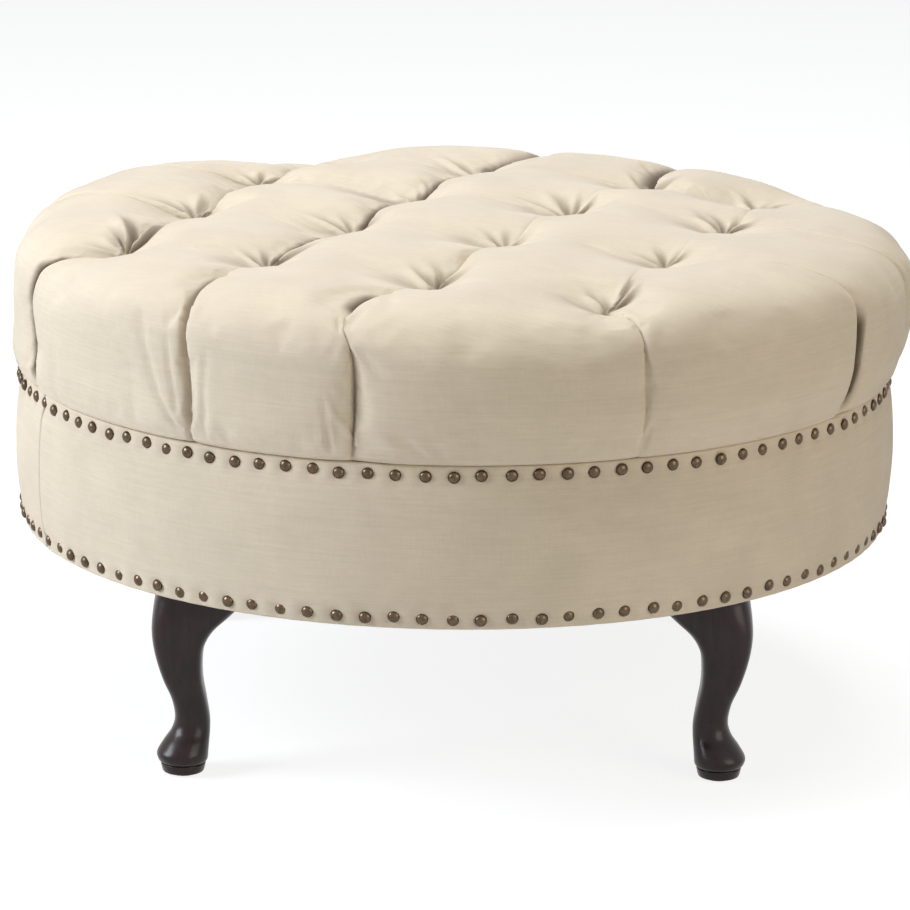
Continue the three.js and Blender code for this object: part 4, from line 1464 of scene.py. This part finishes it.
# From foot to block: height as a share of the leg's, then how far the outer and the inner
# edge stand from the foot's middle, as shares of the block
LEG_SHARES = [
    (0, 0.205, -0.2), (0.006, 0.222, -0.214), (0.042, 0.24, -0.232), (0.047, 0.23, -0.222),
    (0.052, 0.244, -0.236), (0.066, 0.268, -0.254), (0.1, 0.278, -0.26), (0.15, 0.215, -0.268),
    (0.205, 0.13, -0.275), (0.27, 0.095, -0.272), (0.37, 0.125, -0.24), (0.47, 0.2, -0.208),
    (0.57, 0.262, -0.205), (0.66, 0.302, -0.232), (0.74, 0.32, -0.33), (0.81, 0.315, -0.5),
    (0.87, 0.3, -0.64), (0.92, 0.285, -0.72), (1, 0.272, -0.728),
]


# How square the leg is in section: a 2 is round
FOOT_SQUARENESS, BLOCK_SQUARENESS = 2, 4.2


def leg_mesh(settings):
    """One leg's points and faces, its foot on the origin and its toe along the diagonal."""
    table = np.array(LEG_SHARES)
    places = np.arange(len(table))
    at = np.linspace(0, len(table) - 1, settings.rings + 1)
    height = through(places, table[:, 0], at)
    outer = through(places, table[:, 1], at)
    inner = through(places, table[:, 2], at)
    blend = smooth((height - 0.2) / 0.3)
    squareness = FOOT_SQUARENESS + (BLOCK_SQUARENESS - FOOT_SQUARENESS) * blend
    points, faces = [], []
    count = settings.sides
    angle = (np.arange(count) + 0.5) * 2 * math.pi / count
    tall = LEG_TOP - LEG_BASE
    for k in range(settings.rings + 1):
        power = 2 / squareness[k]
        x = np.sign(np.cos(angle)) * np.abs(np.cos(angle)) ** power
        y = np.sign(np.sin(angle)) * np.abs(np.sin(angle)) ** power
        middle, half = (outer[k] + inner[k]) / 2, (outer[k] - inner[k]) / 2
        row = np.column_stack([
            (middle + half * x) * settings.block, (middle + half * y) * settings.block,
            np.full(count, height[k] * tall),
        ])
        points.append(row)
        if k:
            above = k * count + np.arange(count)
            faces += band(above, above - count)
    points = np.vstack(points)
    bottom, top = len(points), len(points) + 1
    ends = np.array([
        [*points[:count, :2].mean(0), 0.0],
        [*points[-count:, :2].mean(0), tall],
    ])
    last_ring = settings.rings * count
    for j in range(count):
        faces.append((bottom, (j + 1) % count, j))
        faces.append((top, last_ring + j, last_ring + (j + 1) % count))
    return np.vstack([points, ends]), faces


class TUFFET_OT_add_legs(bpy.types.Operator):
    """Makes the four cabriole legs"""

    bl_idname = "tuffet.add_legs"
    bl_label = "Add Legs"

    def execute(self, context):
        settings = context.scene.tuffet_legs
        material = espresso_material(context.scene.tuffet_finish.espresso)
        points, faces = leg_mesh(settings)
        points = points + np.array([FOOT_SPREAD, FOOT_SPREAD, LEG_BASE])
        for k, corner in enumerate(CORNERS):
            spin = Matrix.Rotation(k * math.pi / 2, 3, "Z")
            placed = points @ np.array(spin).T
            obj = mesh_object(f"cabriole_{corner}", placed, faces)
            fitted(obj, material, [f"leg_{corner}"])
        return {"FINISHED"}


# Dust cloth

HOLE_SIDES = 16

# In metres: how far the cambric's top stays below the frame, how far its staples draw it down
# and how far their crowns lie below it. The last number is how far they turn, in radians.
CAMBRIC_PLAY, CAMBRIC_PULL, STAPLE_GAP = 0.0002, 0.00012, 0.0003
STAPLE_UNEVENNESS = 0.35


def staple_tree(material):
    """A ring of staple crowns that lie flat, each along the ring and a little askew."""
    tree, given = open_tree(
        "Staple ring", ("Crown", "NodeSocketFloat"), ("Gauge", "NodeSocketFloat"),
    )
    jitter = add_node(
        tree, "FunctionNodeRandomValue", {"data_type": "FLOAT"}, Seed=given["Seed"],
    )
    jitter.inputs[2].default_value, jitter.inputs[3].default_value = -1, 1
    amount = reckoned(
        tree, "ShaderNodeMath", "MULTIPLY", jitter.outputs[1], given["Unevenness"],
    )
    twist = add_node(tree, "ShaderNodeCombineXYZ", Z=amount)
    askew = add_node(
        tree, "FunctionNodeRotateRotation", {"rotation_space": "LOCAL"},
        Rotation=facing_out(tree, "Y"), Rotate_By=twist.outputs["Vector"],
    )
    size = add_node(
        tree, "ShaderNodeCombineXYZ", X=given["Crown"], Y=given["Gauge"], Z=given["Gauge"],
    )
    bar = add_node(tree, "GeometryNodeMeshCube", Size=size.outputs["Vector"])
    close_tree(
        tree, row_points(tree, given, 0), bar.outputs["Mesh"], askew.outputs["Rotation"],
        material,
    )
    return tree


class TUFFET_OT_add_dust_cloth(bpy.types.Operator):
    """Makes the black cambric that closes the frame from below, with a hole for each bolt"""

    bl_idname = "tuffet.add_dust_cloth"
    bl_label = "Add Dust Cloth"

    def execute(self, context):
        settings = context.scene.tuffet_dust_cloth
        radius = DUST_RADIUS
        bolts = []
        for corner in CORNERS:
            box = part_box(f"hanger_bolt_{corner}")
            bolts.append(((box[0].x + box[1].x) / 2, (box[0].y + box[1].y) / 2))
        ring = [(radius * math.cos(a), radius * math.sin(a)) for a in turns(settings.edge_sides)]
        plan, edges = list(ring), [(k, (k + 1) % len(ring)) for k in range(len(ring))]
        for x, y in bolts:
            first = len(plan)
            plan += [
                (x + settings.hole * math.cos(a), y + settings.hole * math.sin(a))
                for a in turns(HOLE_SIDES)
            ]
            edges += [(first + k, first + (k + 1) % HOLE_SIDES) for k in range(HOLE_SIDES)]
        cells = int(radius / settings.cell)
        for i in range(-cells, cells + 1):
            for j in range(-cells, cells + 1):
                x, y = i * settings.cell, j * settings.cell
                clear = min(math.hypot(x - a, y - b) for a, b in bolts)
                within = math.hypot(x, y) < radius - settings.cell * 0.6
                if within and clear > settings.hole * 1.7:
                    plan.append((x, y))
        spots, _, tris, *_ = delaunay_2d_cdt([Vector(v) for v in plan], edges, [], 0, 1e-7)
        spots = np.array([(v.x, v.y) for v in spots])
        kept = []
        for tri in tris:
            x, y = spots[list(tri)].mean(0)
            if min(math.hypot(x - a, y - b) for a, b in bolts) > settings.hole:
                kept.append(tuple(tri))
        away = np.hypot(*spots.T)
        bearing = np.arctan2(spots[:, 1], spots[:, 0])
        inner = smooth((settings.free_radius - away) / 0.06)
        pull = np.cos(bearing * settings.staples) * np.exp(-((radius - away) / 0.03) ** 2)
        flat = np.column_stack([spots, np.zeros(len(spots))])
        sag = settings.sag * inner + waves(flat, 0.16, 31) * 0.0016 * inner
        under = DUST_BASE - sag - (1 + pull) * CAMBRIC_PULL * (away < radius - 0.001)
        count, thick = len(spots), DUST_TOP - DUST_BASE - CAMBRIC_PLAY
        points = np.vstack([
            np.column_stack([spots, under + thick]), np.column_stack([spots, under]),
        ])
        faces = kept + [(c + count, b + count, a + count) for a, b, c in kept]
        sides = dict.fromkeys(
            edge for a, b, c in kept for edge in ((a, b), (b, c), (c, a))
        )
        faces += [(b, a, a + count, b + count) for a, b in sides if (b, a) not in sides]
        cloth = mesh_object("cambric", points, faces, points[:, :2])
        material = fibre_material("Black cambric", (0.016, 0.016, 0.016), 1600.0, 0.9, 0.0002)
        fitted(cloth, material, ["dust_cloth"])
        zinc = zinc_material()
        staples = grown("staples", staple_tree(zinc), {
            "Row Radius": radius - settings.staple_margin,
            "Row Height": DUST_BASE - settings.staple_gauge / 2 - STAPLE_GAP,
            "Count": settings.staples, "Crown": settings.staple_width,
            "Gauge": settings.staple_gauge, "Unevenness": STAPLE_UNEVENNESS, "Seed": 5,
        })
        if not staples.data.polygons:
            raise RuntimeError("the staples have no faces")
        fitted(staples, zinc)
        return {"FINISHED"}


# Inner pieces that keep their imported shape

class TUFFET_OT_finish_frame(bpy.types.Operator):
    """Gives the boards, posts, ties, bolts and glides their finishes"""

    bl_idname = "tuffet.finish_frame"
    bl_label = "Finish Frame"

    def execute(self, context):
        finishes = {
            "foam": fibre_material("Open foam", (0.80, 0.73, 0.45), 900.0),
            "wadding": fibre_material("Wadding", (0.87, 0.86, 0.82), 500.0),
            "twine": fibre_material("Waxed twine", (0.75, 0.70, 0.60), 1500.0, 0.8, 0.0003),
            "plywood": board_material("Birch plywood", (0.58, 0.41, 0.22), (8, 130, 700)),
            "pine": board_material("Planed pine", (0.66, 0.48, 0.27), (160, 160, 9)),
            "hardboard": board_material("Hardboard", (0.26, 0.15, 0.07), (420, 420, 420), 0.15),
            "zinc": bpy.data.materials.get("Zinc plate") or zinc_material(),
            "nylon": nylon_material(),
        }
        for part in frame["record"]["subparts"]:
            node = frame["nodes"][part["node"]]
            if part["material_slot"] in finishes:
                node.data.materials.clear()
                node.data.materials.append(finishes[part["material_slot"]])
        return {"FINISHED"}


# Studio

SQUARE = [(-1, -1), (1, -1), (1, 1), (-1, 1)]
FLOOR_REACH = 30.0

# The floor's grey for light that bounces and for what is seen, and the glow of what is seen
FLOOR_BOUNCE, FLOOR_SEEN, FLOOR_GLOW = 0.78, 0.30, 0.86

# The white surround's strength as light and as what is seen
SKY_LIGHT, SKY_SEEN = 0.06, 1.0

# Each light's name, place, aim, size, power and tint
LIGHTS = [
    ("Key", (-3.2, -0.8, 1.9), (0, 0, 0.35), 1.7, 103, (0.94, 1.0, 1.09)),
    ("Overhead", (-0.2, 0.6, 3.4), (0, 0, 0.3), 2.6, 89, (0.97, 1.0, 1.05)),
    ("Fill", (2.8, -2.6, 1.6), (0, 0, 0.3), 2.4, 48, (1.0, 0.90, 0.77)),
]
SENSOR_WIDTH = 36
AIM_ASIDE = 0.0008


def area_light(name, place, aim, size, power, tint):
    data = bpy.data.lights.new(name, "AREA")
    data.shape = "RECTANGLE"
    data.size = data.size_y = size
    data.energy = power
    data.color = tint
    lamp = bpy.data.objects.new(name, data)
    lamp.location = place
    lamp.rotation_euler = (Vector(aim) - Vector(place)).to_track_quat("-Z", "Y").to_euler()
    bpy.context.scene.collection.objects.link(lamp)


def seen_rays(tree):
    """One for what the camera sees, straight or in gloss or glass, and zero for other rays."""
    path = add_node(tree, "ShaderNodeLightPath").outputs
    total = path["Is Camera Ray"]
    for name in ("Is Glossy Ray", "Is Transmission Ray"):
        total = reckoned(tree, "ShaderNodeMath", "MAXIMUM", total, path[name])
    return total


class TUFFET_OT_add_studio(bpy.types.Operator):
    """Makes the pale floor, the soft lights, the white surround and the camera"""

    bl_idname = "tuffet.add_studio"
    bl_label = "Add Studio"

    def execute(self, context):
        settings = context.scene.tuffet_studio
        scene = context.scene
        scene.view_settings.view_transform = "Standard"
        self.add_floor()
        self.add_world(scene)
        for light in LIGHTS:
            area_light(*light)
        data = bpy.data.cameras.new("Camera")
        data.lens = settings.lens
        data.sensor_width = SENSOR_WIDTH
        camera = bpy.data.objects.new("Camera", data)
        back = Vector((0, -math.cos(settings.camera_tilt), math.sin(settings.camera_tilt)))
        aim = Vector((AIM_ASIDE, 0, settings.aim))
        camera.location = aim + back * settings.camera_distance
        view = back.to_track_quat("Z", "Y").to_matrix()
        roll = Matrix.Rotation(settings.camera_roll, 3, "Z")
        camera.rotation_euler = (view @ roll).to_euler()
        scene.collection.objects.link(camera)
        scene.camera = camera
        return {"FINISHED"}

    def add_floor(self):
        floor = mesh_object(
            "floor", [(x * FLOOR_REACH, y * FLOOR_REACH, 0) for x, y in SQUARE], [(0, 1, 2, 3)],
        )
        material = bpy.data.materials.new("Pale floor")
        material.use_nodes = True
        tree = material.node_tree
        tree.nodes.clear()
        seen = seen_rays(tree)
        shade = mixed(tree, seen, grey(FLOOR_BOUNCE), grey(FLOOR_SEEN))
        paint = add_node(tree, "ShaderNodeBsdfDiffuse", Color=shade)
        level = reckoned(tree, "ShaderNodeMath", "MULTIPLY", seen, FLOOR_GLOW)
        glow = add_node(tree, "ShaderNodeEmission", Color=grey(1), Strength=level)
        both = add_node(tree, "ShaderNodeAddShader")
        feed(tree, both.inputs[0], paint.outputs["BSDF"])
        feed(tree, both.inputs[1], glow.outputs["Emission"])
        add_node(tree, "ShaderNodeOutputMaterial", Surface=both.outputs["Shader"])
        floor.data.materials.append(material)

    def add_world(self, scene):
        world = bpy.data.worlds.new("White surround")
        scene.world = world
        world.use_nodes = True
        tree = world.node_tree
        tree.nodes.clear()
        choose = add_node(tree, "ShaderNodeMixShader", Fac=seen_rays(tree))
        for index, strength in ((1, SKY_LIGHT), (2, SKY_SEEN)):
            sky = add_node(tree, "ShaderNodeBackground", Color=grey(1), Strength=strength)
            feed(tree, choose.inputs[index], sky.outputs["Background"])
        add_node(tree, "ShaderNodeOutputWorld", Surface=choose.outputs["Shader"])


class TUFFET_PT_panel(bpy.types.Panel):
    """Lists the tuffet's pieces"""

    bl_idname = "TUFFET_PT_panel"
    bl_label = "Tuffet"
    bl_space_type = "VIEW_3D"
    bl_region_type = "UI"
    bl_category = "Tuffet"

    def draw(self, context):
        for kind in PIECES:
            self.layout.operator(kind.bl_idname)
        for name in SETTINGS:
            box = self.layout.box()
            box.label(text=name.split("_")[1].title())
            group = getattr(context.scene, name)
            for key in group.bl_rna.properties.keys():
                if key not in ("name", "rna_type"):
                    box.prop(group, key)


PIECES = [
    TUFFET_OT_add_studio,
    TUFFET_OT_add_cushion,
    TUFFET_OT_add_skirt,
    TUFFET_OT_add_nails,
    TUFFET_OT_add_legs,
    TUFFET_OT_add_dust_cloth,
    TUFFET_OT_finish_frame,
]
SETTINGS = {
    "tuffet_cushion": CushionSettings,
    "tuffet_skirt": SkirtSettings,
    "tuffet_nails": NailSettings,
    "tuffet_legs": LegSettings,
    "tuffet_dust_cloth": DustClothSettings,
    "tuffet_finish": FinishSettings,
    "tuffet_studio": StudioSettings,
}


def register():
    for kind in [*SETTINGS.values(), *PIECES, TUFFET_PT_panel]:
        bpy.utils.register_class(kind)
    for name, kind in SETTINGS.items():
        setattr(bpy.types.Scene, name, PointerProperty(type=kind))


def unregister():
    for name in SETTINGS:
        delattr(bpy.types.Scene, name)
    for kind in reversed([*SETTINGS.values(), *PIECES, TUFFET_PT_panel]):
        bpy.utils.unregister_class(kind)


def main():
    register()
    for kind in PIECES:
        group, name = kind.bl_idname.split(".")
        getattr(getattr(bpy.ops, group), name)()


if __name__ == "__main__":
    main()
